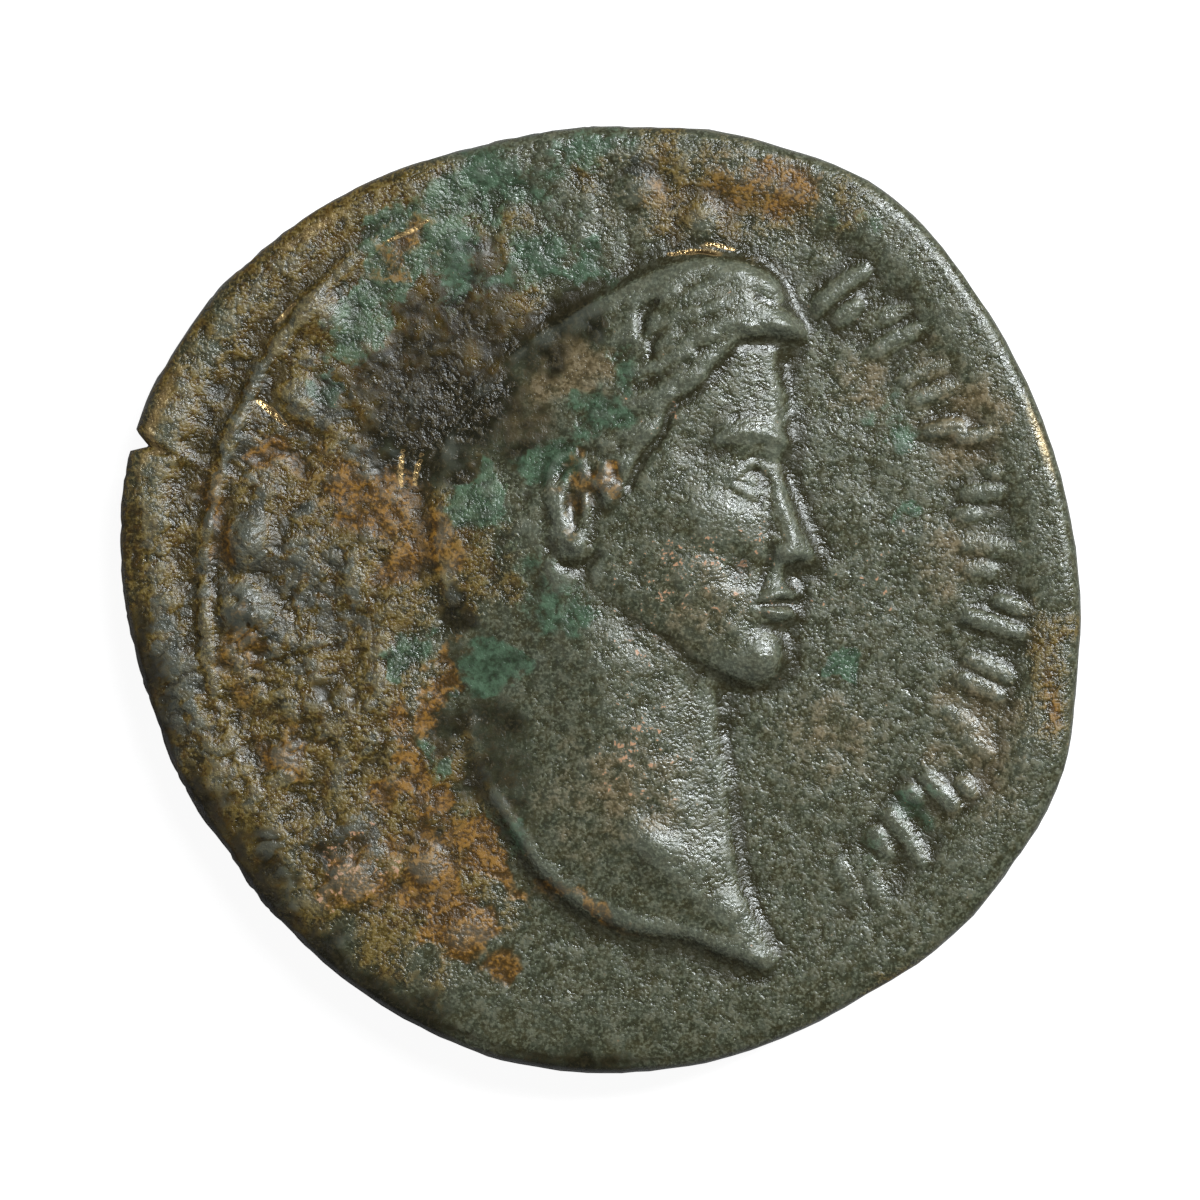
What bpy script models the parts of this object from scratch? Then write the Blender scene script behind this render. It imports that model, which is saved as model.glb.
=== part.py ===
"""A worn Roman bronze coin, one struck piece, lying on its reverse with the portrait up.

Metres, +Z up. The origin is under the middle of the flan, on the plane the coin lies on.
Run it with: blender --background --python part.py
"""

import math

import bmesh
import bpy
import numpy as np

# The flan: its mean radius, its outline as (bearing in degrees, share of that radius), and its levels
FLAN_RADIUS = 0.0165
FLAN_OUTLINE = [
    (0, 1.004), (20, 0.999), (38, 1.013), (55, 1.040), (72, 1.014), (90, 0.990), (108, 0.986),
    (130, 1.014), (154, 1.037), (168, 1.023), (182, 0.992), (198, 0.962), (216, 0.946),
    (236, 0.963), (262, 0.991), (284, 0.998), (302, 0.998), (318, 1.023), (328, 1.028),
    (339, 1.037), (350, 1.014),
]
FIELD_THICKNESS = 0.0030
EDGE_ROUND = 0.00055
SHOULDER_DROP = 0.00045
SHOULDER_WIDTH = 0.0026
SHOULDER_BEARING = 217.0

# The crack in the flan's edge
CRACK_BEARING = 161.3
CRACK_DEPTH = 0.00058
CRACK_WIDTH = 0.0007
CRACK_LENGTH = 0.0021
CRACK_GROOVE = 0.00022

# The obverse rim by bearing in degrees: its width and its height over the field
RIM_PROFILE = [
    (0, 0.00110, 0.00018), (35, 0.00140, 0.00020), (65, 0.00140, 0.00016), (88, 0.00080, 0.00012),
    (125, 0.00080, 0.00014), (160, 0.00105, 0.00030), (195, 0.00110, 0.00018),
    (230, 0.00160, 0.00004), (268, 0.00200, 0.00003), (308, 0.00180, 0.00010), (338, 0.00140, 0.00020),
]
RIM_SLOPE = 0.0013

# The worn ring of beads round the die's edge, which the strike set off the flan's middle
DIE_CENTRE = (0.0016, 0.0003)
BORDER_RADIUS = 0.0152
BORDER_WIDTH = 0.00042
BORDER_HEIGHT = 0.00024
BORDER_BEADS = 84
BEAD_SHARE = 0.1
BORDER_BEARING = 162.0
BORDER_FADE = 6

# The inscription's place: rows of shallow strokes that are no letters, each arc given by its first
# and last bearing, the share of the relief that wear has left and how much wear has spread it.
# The wear on the groups of strokes is uneven
LEGEND_CENTRE = (0.0006, 0.0002)
LEGEND_RADIUS = 0.0130
LEGEND_HEIGHT = 0.0022
LEGEND_PITCH = 9.4
LEGEND_RELIEF = 0.00018
STROKE_WIDTH = 0.00040
STROKE_FLATNESS = 1.3
UNEVEN_WEAR = 0.32
LEGEND_ARCS = [(53.0, -55.0, 1.0, 1.15), (228.0, 146.0, 0.34, 1.8), (143.0, 84.0, 0.14, 1.8)]
STROKE_GROUPS = [
    [((-0.18, -0.42), (-0.08, 0.02), (0.04, 0.42)), ((0.18, -0.42), (0.27, -0.08))],
    [((-0.24, -0.42), (-0.13, 0.02)), ((0.04, -0.04), (0.17, 0.42))],
    [((0.04, -0.42), (0.14, 0.00), (0.26, 0.42)), ((-0.22, 0.06), (-0.12, 0.42))],
    [((-0.06, -0.26), (0.07, 0.28)), ((0.24, -0.42), (0.28, -0.26)), ((-0.28, 0.24), (-0.24, 0.40))],
    [((-0.22, -0.32), (-0.06, 0.32)), ((0.10, -0.36), (0.24, 0.24))],
]

# Lumps and hollows of corrosion: middle, radius and height
LUMPS = [
    ((-0.0121, 0.0020), 0.00120, 0.00036), ((-0.0121, -0.0004), 0.00130, 0.00040),
    ((-0.0104, 0.0069), 0.00110, 0.00026), ((-0.0097, 0.0097), 0.00130, 0.00026),
    ((-0.0109, -0.0056), 0.00100, 0.00014), ((-0.0086, -0.0097), 0.00120, 0.00016),
    ((-0.0060, -0.0092), 0.00100, 0.00018), ((-0.0045, -0.0115), 0.00120, 0.00012),
    ((0.0014, 0.0142), 0.00100, 0.00018), ((0.0035, 0.0131), 0.00100, 0.00016),
    ((-0.0137, 0.0008), 0.00080, -0.00010), ((-0.0052, -0.0008), 0.00110, -0.00012),
    ((-0.0071, 0.0051), 0.00160, -0.00006), ((-0.0075, -0.0040), 0.00180, 0.00008),
]

# The bust: its height over the field and its place, then its forms in shares of the head's height,
# across from the ear's front edge and up from the chin
BUST_RELIEF = 0.00120
HEAD_HEIGHT = 0.01384
EAR_FRONT = 0.00036
CHIN_LEVEL = -0.00287
HEAD_OUTLINE = [
    (0.475, 0.867), (0.452, 0.850), (0.418, 0.800), (0.428, 0.710), (0.430, 0.640),
    (0.436, 0.592), (0.420, 0.545), (0.427, 0.505), (0.450, 0.445), (0.477, 0.380),
    (0.500, 0.332), (0.502, 0.306), (0.478, 0.292), (0.440, 0.286), (0.434, 0.262),
    (0.443, 0.236), (0.455, 0.218), (0.450, 0.203), (0.437, 0.196), (0.448, 0.184),
    (0.449, 0.166), (0.430, 0.150), (0.416, 0.128), (0.424, 0.095), (0.427, 0.060),
    (0.408, 0.020), (0.365, 0.000), (0.300, 0.005), (0.220, 0.035), (0.130, 0.075),
    (0.040, 0.120), (-0.060, 0.150), (-0.130, 0.130), (-0.210, 0.090), (-0.300, 0.060),
    (-0.380, 0.080), (-0.415, 0.190), (-0.440, 0.340), (-0.435, 0.520), (-0.370, 0.685),
    (-0.255, 0.815), (-0.115, 0.910), (0.015, 0.975), (0.120, 1.030), (0.225, 1.052),
    (0.340, 1.038), (0.405, 0.998), (0.440, 0.930),
]
HAIR_OUTLINE = [
    (0.560, 0.872), (0.440, 0.858), (0.330, 0.852), (0.272, 0.805), (0.225, 0.735),
    (0.150, 0.695), (0.122, 0.630), (0.066, 0.560), (0.032, 0.490), (-0.005, 0.440),
    (-0.040, 0.480), (-0.090, 0.400), (-0.080, 0.320), (-0.110, 0.210), (-0.180, 0.110),
    (-0.300, 0.000), (-0.600, 0.000), (-0.650, 0.700), (0.000, 1.250), (0.560, 1.150),
]
NECK_OUTLINE = [
    (0.300, 0.120), (0.285, 0.030), (0.262, -0.040), (0.268, -0.120), (0.288, -0.240),
    (0.300, -0.360), (0.318, -0.470), (0.352, -0.570), (0.408, -0.680), (0.380, -0.715),
    (0.300, -0.690), (0.225, -0.655), (0.170, -0.632), (0.075, -0.622), (-0.020, -0.598),
    (-0.105, -0.545), (-0.185, -0.470), (-0.250, -0.370), (-0.310, -0.270), (-0.350, -0.150),
    (-0.368, -0.020), (-0.372, 0.110), (-0.300, 0.260), (0.000, 0.400),
]
EAR_OUTLINE = [
    (-0.055, 0.515), (-0.072, 0.568), (-0.112, 0.585), (-0.155, 0.555), (-0.166, 0.475),
    (-0.145, 0.385), (-0.108, 0.325), (-0.072, 0.318), (-0.055, 0.370), (-0.052, 0.445),
]

# Each swelling or hollow: its middle, its two radii, its turn in degrees and its height
FACE_MOUNDS = {
    "eye socket": ((0.370, 0.515), (0.078, 0.066), 0, -0.24),
    "temple": ((0.230, 0.590), (0.080, 0.100), 0, -0.07),
    "eyeball": ((0.352, 0.503), (0.052, 0.038), 8, 0.20),
    "cheekbone": ((0.270, 0.400), (0.140, 0.090), -20, 0.12),
    "jaw muscle": ((0.200, 0.230), (0.140, 0.110), 25, 0.05),
    "cheek hollow": ((0.330, 0.270), (0.070, 0.090), 20, -0.08),
    "nose wing": ((0.440, 0.318), (0.038, 0.034), 0, 0.15),
    "nostril": ((0.468, 0.298), (0.020, 0.013), 10, -0.16),
    "lip fold": ((0.398, 0.136), (0.052, 0.026), 0, -0.08),
    "chin": ((0.376, 0.066), (0.066, 0.062), 0, 0.13),
}
EAR_MOUNDS = {
    "ear's middle": ((-0.108, 0.450), (0.075, 0.140), 0, 0.08),
    "ear hollow": ((-0.092, 0.435), (0.034, 0.064), 0, -0.18),
    "ear lobe": ((-0.088, 0.345), (0.032, 0.036), 0, 0.14),
    "ear flap": ((-0.062, 0.440), (0.019, 0.032), 0, 0.13),
}
HAIR_MOUNDS = {
    "lock before the ear": ((-0.022, 0.500), (0.026, 0.050), -8, 0.14),
    "brow of the cap": ((0.330, 0.930), (0.100, 0.060), 0, 0.05),
}

# Each ridge or groove: its path, its half width, the share of it kept at its ends, and its height
FACE_RIDGES = {
    "brow": ([(0.428, 0.600), (0.360, 0.624), (0.262, 0.600)], 0.040, 0.40, 0.15),
    "upper lid": ([(0.402, 0.508), (0.376, 0.536), (0.338, 0.537), (0.292, 0.500)], 0.019, 0.45, 0.12),
    "lower lid": ([(0.392, 0.484), (0.350, 0.468), (0.300, 0.490)], 0.016, 0.45, 0.08),
    "nose": ([(0.410, 0.530), (0.430, 0.450), (0.455, 0.350)], 0.038, 0.70, 0.12),
    "nose fold": ([(0.402, 0.345), (0.394, 0.300), (0.370, 0.230)], 0.022, 0.40, -0.09),
    "upper lip": ([(0.450, 0.224), (0.418, 0.220), (0.374, 0.203)], 0.024, 0.40, 0.13),
    "lower lip": ([(0.446, 0.173), (0.418, 0.169), (0.380, 0.186)], 0.024, 0.40, 0.13),
    "mouth": ([(0.452, 0.198), (0.415, 0.197), (0.364, 0.194)], 0.013, 0.45, -0.18),
    "jaw": ([(0.330, 0.050), (0.210, 0.100), (0.100, 0.165), (0.020, 0.260)], 0.085, 0.35, 0.05),
}
EAR_RIDGES = {
    "ear rim": ([(-0.062, 0.515), (-0.078, 0.556), (-0.113, 0.568), (-0.146, 0.538),
                 (-0.152, 0.472), (-0.134, 0.396), (-0.104, 0.345), (-0.080, 0.335)], 0.030, 0.80, 0.15),
    "ear fold": ([(-0.098, 0.525), (-0.122, 0.480), (-0.116, 0.415), (-0.094, 0.380)],
                 0.017, 0.35, 0.08),
}
HAIR_RIDGES = {
    "parting of two locks": ([(0.112, 0.945), (0.084, 0.915), (0.076, 0.872)], 0.026, 0.50, -0.20),
    "lock gap": ([(0.128, 0.862), (0.104, 0.842), (0.098, 0.806)], 0.020, 0.40, -0.13),
    "fringe edge": ([(0.470, 0.884), (0.400, 0.884), (0.325, 0.880)], 0.030, 0.60, 0.10),
    "fringe hollow": ([(0.430, 0.930), (0.360, 0.955), (0.280, 0.950)], 0.034, 0.40, -0.06),
}
HAIRLINE_GROOVES = {
    "under the fringe": ([(0.455, 0.846), (0.390, 0.842), (0.320, 0.838)], 0.026, 0.50, -0.14),
    "temple": ([(0.262, 0.786), (0.210, 0.722), (0.150, 0.676), (0.128, 0.620),
                (0.078, 0.552), (0.046, 0.480)], 0.018, 0.60, -0.10),
    "behind the jaw": ([(-0.060, 0.290), (-0.072, 0.200), (-0.120, 0.130)], 0.030, 0.50, -0.14),
    "under the ear": ([(-0.160, 0.360), (-0.125, 0.298), (-0.070, 0.286), (-0.030, 0.320)],
                      0.024, 0.50, -0.14),
}
NECK_RIDGES = {
    "neck muscle": ([(-0.040, 0.080), (0.040, -0.100), (0.110, -0.260), (0.180, -0.420)],
                    0.190, 0.70, 0.08),
    "neck hollow": ([(0.190, -0.040), (0.220, -0.200), (0.250, -0.360)], 0.090, 0.60, -0.05),
    "collar bone": ([(0.300, -0.560), (0.200, -0.500), (0.100, -0.400)], 0.110, 0.50, 0.07),
    "cut edge": ([(0.370, -0.690), (0.230, -0.640), (0.080, -0.605), (-0.080, -0.545),
                  (-0.200, -0.430), (-0.290, -0.280)], 0.050, 0.50, 0.08),
}
NECK_MOUNDS = {
    "shoulder": ((0.085, -0.390), (0.105, 0.075), -30, 0.09),
    "throat": ((0.215, 0.000), (0.060, 0.090), 0, -0.06),
}

# The neck and the head: the height of the edge, the edge's slope, the dome's rise and its reach
NECK_SWELL = (0.22, 0.050, 0.34, 0.13)
HEAD_SWELL = (0.32, 0.052, 0.38, 0.12)
HAIR_THICKNESS = 0.14
HAIR_EDGE = 0.026
EAR_RISE = 0.08
EAR_EDGE = 0.022

# The locks of hair, which overlap in rings round the crown: their size, how far each ring is
# turned from the last, their bend and wander, their roots' height as a share of their tips', the
# share of their length in which a tip ends, and their relief
CROWN = (-0.230, 0.640)
LOCK_LENGTH = 0.190
LOCK_WIDTH = 0.080
LOCK_TURN = 0.37
LOCK_BEND = 0.7
LOCK_WAVE = 0.028
LOCK_WAVE_TURNS = ((13.0, 9.0), (15.0, -7.0))
LOCK_ROOT = 0.3
LOCK_TIP = 0.12
LOCK_RELIEF = 0.12

# Wear, by its middle, its two radii, its turn in degrees and the share that it takes: from the
# locks at the crown, from the back of the head and its nape, and from the back of the neck
LOCK_WEAR = [((-0.330, 0.800), (0.42, 0.42), 0, 0.75)]
HEAD_WEAR = [((-0.450, 0.720), (0.66, 0.90), -32, 0.94), ((-0.330, 0.120), (0.34, 0.34), 0, 0.80)]
NECK_WEAR = [((-0.440, -0.020), (0.44, 0.46), 12, 0.80)]

# The reverse: its rim, and a laurel wreath round an empty field. The wreath is a little lower than
# the rim, and a berry stands to each side of the stem in turn
REVERSE_RELIEF = 0.00042
REVERSE_RIM_WIDTH = 0.0018
WREATH_RADIUS = 0.0098
WREATH_STEM_WIDTH = 0.00035
LEAF_LENGTH = 0.0026
LEAF_WIDTH = 0.00062
LEAF_SPLAY = 34.0
LEAF_GROUPS = 13
WREATH_GAP = 16.0
LEAF_FLATNESS = 1.4
BERRY_RADIUS = 0.00040
BERRY_OFFSET = 0.0011
TIE_WIDTH = 0.0022
WREATH_SHARE = 0.9

# The mesh: cells across each face, rings round the edge and passes of wear, then the triangles
# kept, and how much sooner the plainer reverse and edge are simplified than the obverse
CELLS = 220
EDGE_RINGS = 8
WEAR_PASSES = 2
MOST_TRIANGLES = 9400
OBVERSE_WEIGHT = 0.5
PLAIN_FIRST = 0.0005


def smooth_step(share):
    """0 below 0, 1 above 1, and a smooth rise between."""
    t = np.clip(share, 0.0, 1.0)
    return t * t * (3.0 - 2.0 * t)


def between(p0, p1, p2, p3, t):
    """The point a share t of the way from p1 to p2 on a smooth curve through all four."""
    return 0.5 * (
        2 * p1
        + (p2 - p0) * t
        + (2 * p0 - 5 * p1 + 4 * p2 - p3) * t * t
        + (3 * p1 - p0 - 3 * p2 + p3) * t**3
    )


def closed_curve(points, steps=8):
    """Points along a smooth closed curve through the given ones."""
    p = np.array(points, float)
    t = (np.arange(steps) / steps)[None, :, None]
    before, here, after, beyond = (np.roll(p, -k, axis=0)[:, None, :] for k in (-1, 0, 1, 2))
    return between(before, here, after, beyond, t).reshape(-1, 2)


def open_curve(points, steps=6):
    """Points along a smooth curve from the first of the given ones to the last."""
    p = np.array([points[0], *points, points[-1]], float)
    t = (np.arange(steps) / steps)[None, :, None]
    spans = between(p[:-3, None, :], p[1:-2, None, :], p[2:-1, None, :], p[3:, None, :], t)
    return np.vstack([spans.reshape(-1, 2), p[-1]])


def inside_depth(u, v, outline):
    """How far each place lies inside a closed outline, negative outside it."""
    nearest = np.full(u.shape, np.inf)
    inside = np.zeros(u.shape, bool)
    for (ax, ay), (bx, by) in zip(outline, np.roll(outline, -1, axis=0)):
        dx, dy = bx - ax, by - ay
        t = np.clip(((u - ax) * dx + (v - ay) * dy) / (dx * dx + dy * dy), 0.0, 1.0)
        nearest = np.minimum(nearest, (u - ax - t * dx) ** 2 + (v - ay - t * dy) ** 2)
        if dy:
            inside ^= ((ay > v) != (by > v)) & (u < ax + (v - ay) * dx / dy)
    return np.where(inside, 1.0, -1.0) * np.sqrt(nearest)


def mound(u, v, centre, radii, turn):
    """A rounded swelling, 1 at its middle and 0 at its edge."""
    c, s = math.cos(math.radians(turn)), math.sin(math.radians(turn))
    du, dv = u - centre[0], v - centre[1]
    r = ((du * c + dv * s) / radii[0]) ** 2 + ((dv * c - du * s) / radii[1]) ** 2
    return np.clip(1.0 - r, 0.0, 1.0) ** 2


def ridge(u, v, path, half_width, ends):
    """A rounded ridge, 1 along its path and thinner towards the path's ends."""
    nearest = np.full(u.shape, np.inf)
    along = np.zeros(u.shape)
    lengths = np.hypot(*np.diff(path, axis=0).T)
    start = 0.0
    for (ax, ay), (bx, by), length in zip(path[:-1], path[1:], lengths):
        dx, dy = bx - ax, by - ay
        t = np.clip(((u - ax) * dx + (v - ay) * dy) / length**2, 0.0, 1.0)
        gap = (u - ax - t * dx) ** 2 + (v - ay - t * dy) ** 2
        nearer = gap < nearest
        nearest = np.where(nearer, gap, nearest)
        along = np.where(nearer, (start + t * length) / lengths.sum(), along)
        start += length
    taper = 1.0 - (1.0 - ends) * (2.0 * along - 1.0) ** 2
    return np.clip(1.0 - nearest / (half_width * taper) ** 2, 0.0, 1.0) ** 2


def add_near(total, u, v, path, half_width, ends):
    """Raises a small ridge on a height map, working only on the places that it can reach."""
    middle = path.mean(axis=0)
    reach = np.hypot(*(path - middle).T).max() + half_width
    near = (u - middle[0]) ** 2 + (v - middle[1]) ** 2 < reach**2
    if near.any():
        total[near] = np.maximum(total[near], ridge(u[near], v[near], path, half_width, ends))


def kept(u, v, wear):
    """The share of a form that wear leaves at each place."""
    share = np.ones(u.shape)
    for middle, radii, turn, taken in wear:
        share *= 1.0 - taken * mound(u, v, middle, radii, turn)
    return share


def forms(u, v, mounds, ridges):
    """The sum of named mounds and ridges."""
    total = np.zeros(u.shape)
    for centre, radii, turn, height in mounds.values():
        total += height * mound(u, v, centre, radii, turn)
    for points, half_width, ends, height in ridges.values():
        total += height * ridge(u, v, open_curve(points), half_width, ends)
    return total


def swell(depth, step, slope, rise, reach):
    """A form's height by the depth inside its outline: a sloping edge, then a slow dome."""
    edge = step * smooth_step(depth / slope + 0.5)
    return edge + rise * (1.0 - np.exp(-np.clip(depth, 0.0, None) / reach))


def flan_radius(bearing):
    """The flan's outline, through its points, with the crack's notch."""
    turns = np.array([b for b, _ in FLAN_OUTLINE] + [360.0])
    shares = np.array([s for _, s in FLAN_OUTLINE])
    span = np.searchsorted(turns, np.mod(bearing, 360.0), side="right") - 1
    t = (np.mod(bearing, 360.0) - turns[span]) / (turns[span + 1] - turns[span])
    ring = [shares[(span + k) % len(shares)] for k in (-1, 0, 1, 2)]
    across = np.radians(np.abs(bearing - CRACK_BEARING)) * FLAN_RADIUS
    notch = CRACK_DEPTH * np.clip(1.0 - across / (CRACK_WIDTH / 2), 0.0, 1.0)
    return FLAN_RADIUS * between(*ring, t) - notch


def towards(bearing, middle):
    """1 on one bearing, falling to 0 on the bearing opposite."""
    return 0.5 + 0.5 * np.cos(np.radians(bearing - middle))


def lock_rings(u, v, shift):
    """Locks in every second ring round the crown, thickest at their tips, from 0 to 1."""
    (across_v, across_u), (along_u, along_v) = LOCK_WAVE_TURNS
    du = u - CROWN[0] + LOCK_WAVE * np.sin(across_v * v + across_u * u)
    dv = v - CROWN[1] + LOCK_WAVE * np.sin(along_u * u + along_v * v)
    reach = np.hypot(du, dv) / LOCK_LENGTH + shift
    ring = np.floor(reach)
    t = reach - ring
    count = np.maximum(5.0, np.round(2 * np.pi * (ring + 0.5) * LOCK_LENGTH / LOCK_WIDTH))
    turn = np.arctan2(dv, du) / (2 * np.pi) * count + LOCK_TURN * ring + LOCK_BEND * t * t
    across = 2.0 * (turn - np.floor(turn)) - 1.0
    width = np.sqrt(np.clip(1.0 - t**3, 0.02, 1.0))
    lengthwise = (LOCK_ROOT + (1.0 - LOCK_ROOT) * t) * smooth_step((1.0 - t) / LOCK_TIP)
    return np.clip(1.0 - (across / width) ** 2, 0.0, 1.0) * lengthwise


def hair(u, v):
    """The hair's height over the head: its thickness, with overlapping curved locks."""
    depth = inside_depth(u, v, closed_curve(HAIR_OUTLINE))
    locks = np.maximum(lock_rings(u, v, 0.0), lock_rings(u, v, 0.5))
    relief = LOCK_RELIEF * (locks - 0.5) * kept(u, v, LOCK_WEAR) + forms(u, v, HAIR_MOUNDS, HAIR_RIDGES)
    cap = smooth_step(depth / HAIR_EDGE + 0.5) * (HAIR_THICKNESS + relief)
    return cap + forms(u, v, {}, HAIRLINE_GROOVES)


def bust(x, y):
    """The bust's height over the field, as a share of its relief."""
    u = (x - EAR_FRONT) / HEAD_HEIGHT
    v = (y - CHIN_LEVEL) / HEAD_HEIGHT
    neck = swell(inside_depth(u, v, closed_curve(NECK_OUTLINE)), *NECK_SWELL)
    neck += forms(u, v, NECK_MOUNDS, NECK_RIDGES) * smooth_step(neck / NECK_SWELL[0])
    head = swell(inside_depth(u, v, closed_curve(HEAD_OUTLINE, 5)), *HEAD_SWELL)
    on_head = smooth_step(head / HEAD_SWELL[0])
    on_ear = smooth_step(inside_depth(u, v, closed_curve(EAR_OUTLINE)) / EAR_EDGE + 0.5)
    skin = forms(u, v, FACE_MOUNDS, FACE_RIDGES)
    ear = EAR_RISE + forms(u, v, EAR_MOUNDS, EAR_RIDGES)
    head += on_head * (np.where(on_ear > 0, ear, 0) * on_ear + (skin + hair(u, v)) * (1.0 - on_ear))
    worn = np.maximum(neck * kept(u, v, NECK_WEAR), head * kept(u, v, HEAD_WEAR))
    return np.clip(worn, 0.0, None)


def legend(x, y):
    """Short strokes in rows where the inscription stood, as a share of their relief."""
    total = np.zeros(x.shape)
    group = 0
    for first, last, left_by_wear, spread in LEGEND_ARCS:
        for angle in np.arange(first, last, -LEGEND_PITCH):
            strokes = np.zeros(x.shape)
            out = np.array([math.cos(math.radians(angle)), math.sin(math.radians(angle))])
            along = np.array([out[1], -out[0]])
            middle = np.array(LEGEND_CENTRE) + LEGEND_RADIUS * out
            for stroke in STROKE_GROUPS[group % len(STROKE_GROUPS)]:
                path = [middle + LEGEND_HEIGHT * (a * along + b * out) for a, b in stroke]
                add_near(strokes, x, y, open_curve(path, 3), STROKE_WIDTH * spread, 0.8)
            height = left_by_wear * (1.0 - UNEVEN_WEAR + UNEVEN_WEAR * math.cos(group))
            total = np.maximum(total, height * smooth_step(strokes * STROKE_FLATNESS))
            group += 2
    return total


def border(x, y):
    """The worn ring of beads, as a share of its relief."""
    dx, dy = x - DIE_CENTRE[0], y - DIE_CENTRE[1]
    ring = np.clip(1.0 - ((np.hypot(dx, dy) - BORDER_RADIUS) / BORDER_WIDTH) ** 2, 0.0, 1.0)
    beads = 1.0 - BEAD_SHARE + BEAD_SHARE * np.cos(BORDER_BEADS * np.arctan2(dy, dx))
    seen = towards(np.degrees(np.arctan2(y, x)), BORDER_BEARING) ** BORDER_FADE
    return ring * ring * beads * seen


def rim_profile(bearing):
    """The obverse rim's width and height on a bearing."""
    turns, widths, heights = zip(*RIM_PROFILE)
    width = np.interp(bearing, turns, widths, period=360.0)
    return width, np.interp(bearing, turns, heights, period=360.0)


def obverse(x, y, inset, bearing):
    """The obverse's height over its field. inset is the distance in from the flan's outline."""
    width, height = rim_profile(bearing)
    rim = height * smooth_step((width + RIM_SLOPE - inset) / RIM_SLOPE)
    drop = SHOULDER_DROP * towards(bearing, SHOULDER_BEARING) ** 3
    shoulder = drop * np.clip(1.0 - inset / SHOULDER_WIDTH, 0.0, 1.0) ** 2
    crack_across = np.radians(np.abs(bearing - CRACK_BEARING)) * FLAN_RADIUS
    crack = CRACK_GROOVE * np.clip(1.0 - crack_across / (CRACK_WIDTH / 2), 0.0, 1.0)
    crack *= np.clip(1.0 - inset / CRACK_LENGTH, 0.0, 1.0)
    struck = np.maximum(BUST_RELIEF * bust(x, y), LEGEND_RELIEF * legend(x, y))
    struck = np.maximum(struck, BORDER_HEIGHT * border(x, y))
    for centre, radius, lump in LUMPS:
        struck += lump * mound(x, y, centre, (radius, radius), 0)
    return np.maximum(struck, rim) - shoulder - crack


def wreath(x, y):
    """Two laurel branches that rise from a tie at the bottom, as a share of their relief."""
    total = np.zeros(x.shape)
    for side in (-1, 1):
        sweep = 180.0 - 1.5 * WREATH_GAP
        turns = np.radians(270.0 + side * np.linspace(0.0, sweep, 40))
        stem = WREATH_RADIUS * np.column_stack([np.cos(turns), np.sin(turns)])
        add_near(total, x, y, stem, WREATH_STEM_WIDTH, 0.6)
        for k in range(LEAF_GROUPS):
            turn = 270.0 + side * (WREATH_GAP + (sweep - WREATH_GAP) * k / (LEAF_GROUPS - 1))
            root = WREATH_RADIUS * np.array([math.cos(math.radians(turn)), math.sin(math.radians(turn))])
            for splay in (-LEAF_SPLAY, 0.0, LEAF_SPLAY):
                aim = math.radians(turn + side * 90.0 + splay)
                tip = root + LEAF_LENGTH * np.array([math.cos(aim), math.sin(aim)])
                add_near(total, x, y, np.linspace(root, tip, 5), LEAF_WIDTH, 0.15)
            berry = root * (1.0 + side * (2 * (k % 2) - 1) * BERRY_OFFSET / WREATH_RADIUS)
            total = np.maximum(total, mound(x, y, berry, (BERRY_RADIUS, BERRY_RADIUS), 0))
    tie = mound(x, y, (0.0, -WREATH_RADIUS), (TIE_WIDTH / 2, TIE_WIDTH / 3), 0)
    return smooth_step(np.maximum(total, tie) * LEAF_FLATNESS)


def reverse(x, y, inset):
    """The reverse's depth under its field: its rim, which the coin lies on, and its wreath."""
    rim = smooth_step((REVERSE_RIM_WIDTH + RIM_SLOPE - inset) / RIM_SLOPE)
    return REVERSE_RELIEF * np.maximum(rim, WREATH_SHARE * wreath(x, y))


def disc_place(a, b):
    """A place on the square from -1 to 1 moved to the unit disc, as its radius and bearing."""
    wide = np.abs(a) > np.abs(b)
    radius = np.where(wide, np.abs(a), np.abs(b))
    share = np.where(wide, b / np.where(wide, a, 1.0), a / np.where(wide | (b == 0), 1.0, b))
    quarter = np.where(wide, np.where(a < 0, 180.0, 0.0), np.where(b < 0, 270.0, 90.0))
    return radius, np.mod(quarter + np.where(wide, 45.0, -45.0) * share, 360.0)


def blank_mesh(cells, edge_rings):
    """A closed sheet of two square grids, at heights 0 and -1, joined by a band of rings."""
    bm = bmesh.new()
    bmesh.ops.create_grid(bm, x_segments=cells, y_segments=cells, size=1.0)
    under = bmesh.ops.duplicate(bm, geom=bm.verts[:] + bm.edges[:] + bm.faces[:])["geom"]
    under_faces = [item for item in under if isinstance(item, bmesh.types.BMFace)]
    under_verts = [item for item in under if isinstance(item, bmesh.types.BMVert)]
    bmesh.ops.reverse_faces(bm, faces=under_faces)
    bmesh.ops.translate(bm, verts=under_verts, vec=(0.0, 0.0, -1.0))
    bmesh.ops.bridge_loops(bm, edges=[edge for edge in bm.edges if edge.is_boundary])
    walls = [edge for edge in bm.edges if abs(edge.verts[0].co.z - edge.verts[1].co.z) > 0.5]
    bmesh.ops.subdivide_edges(bm, edges=walls, cuts=edge_rings - 1)
    bmesh.ops.recalc_face_normals(bm, faces=bm.faces)
    return bm


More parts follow.
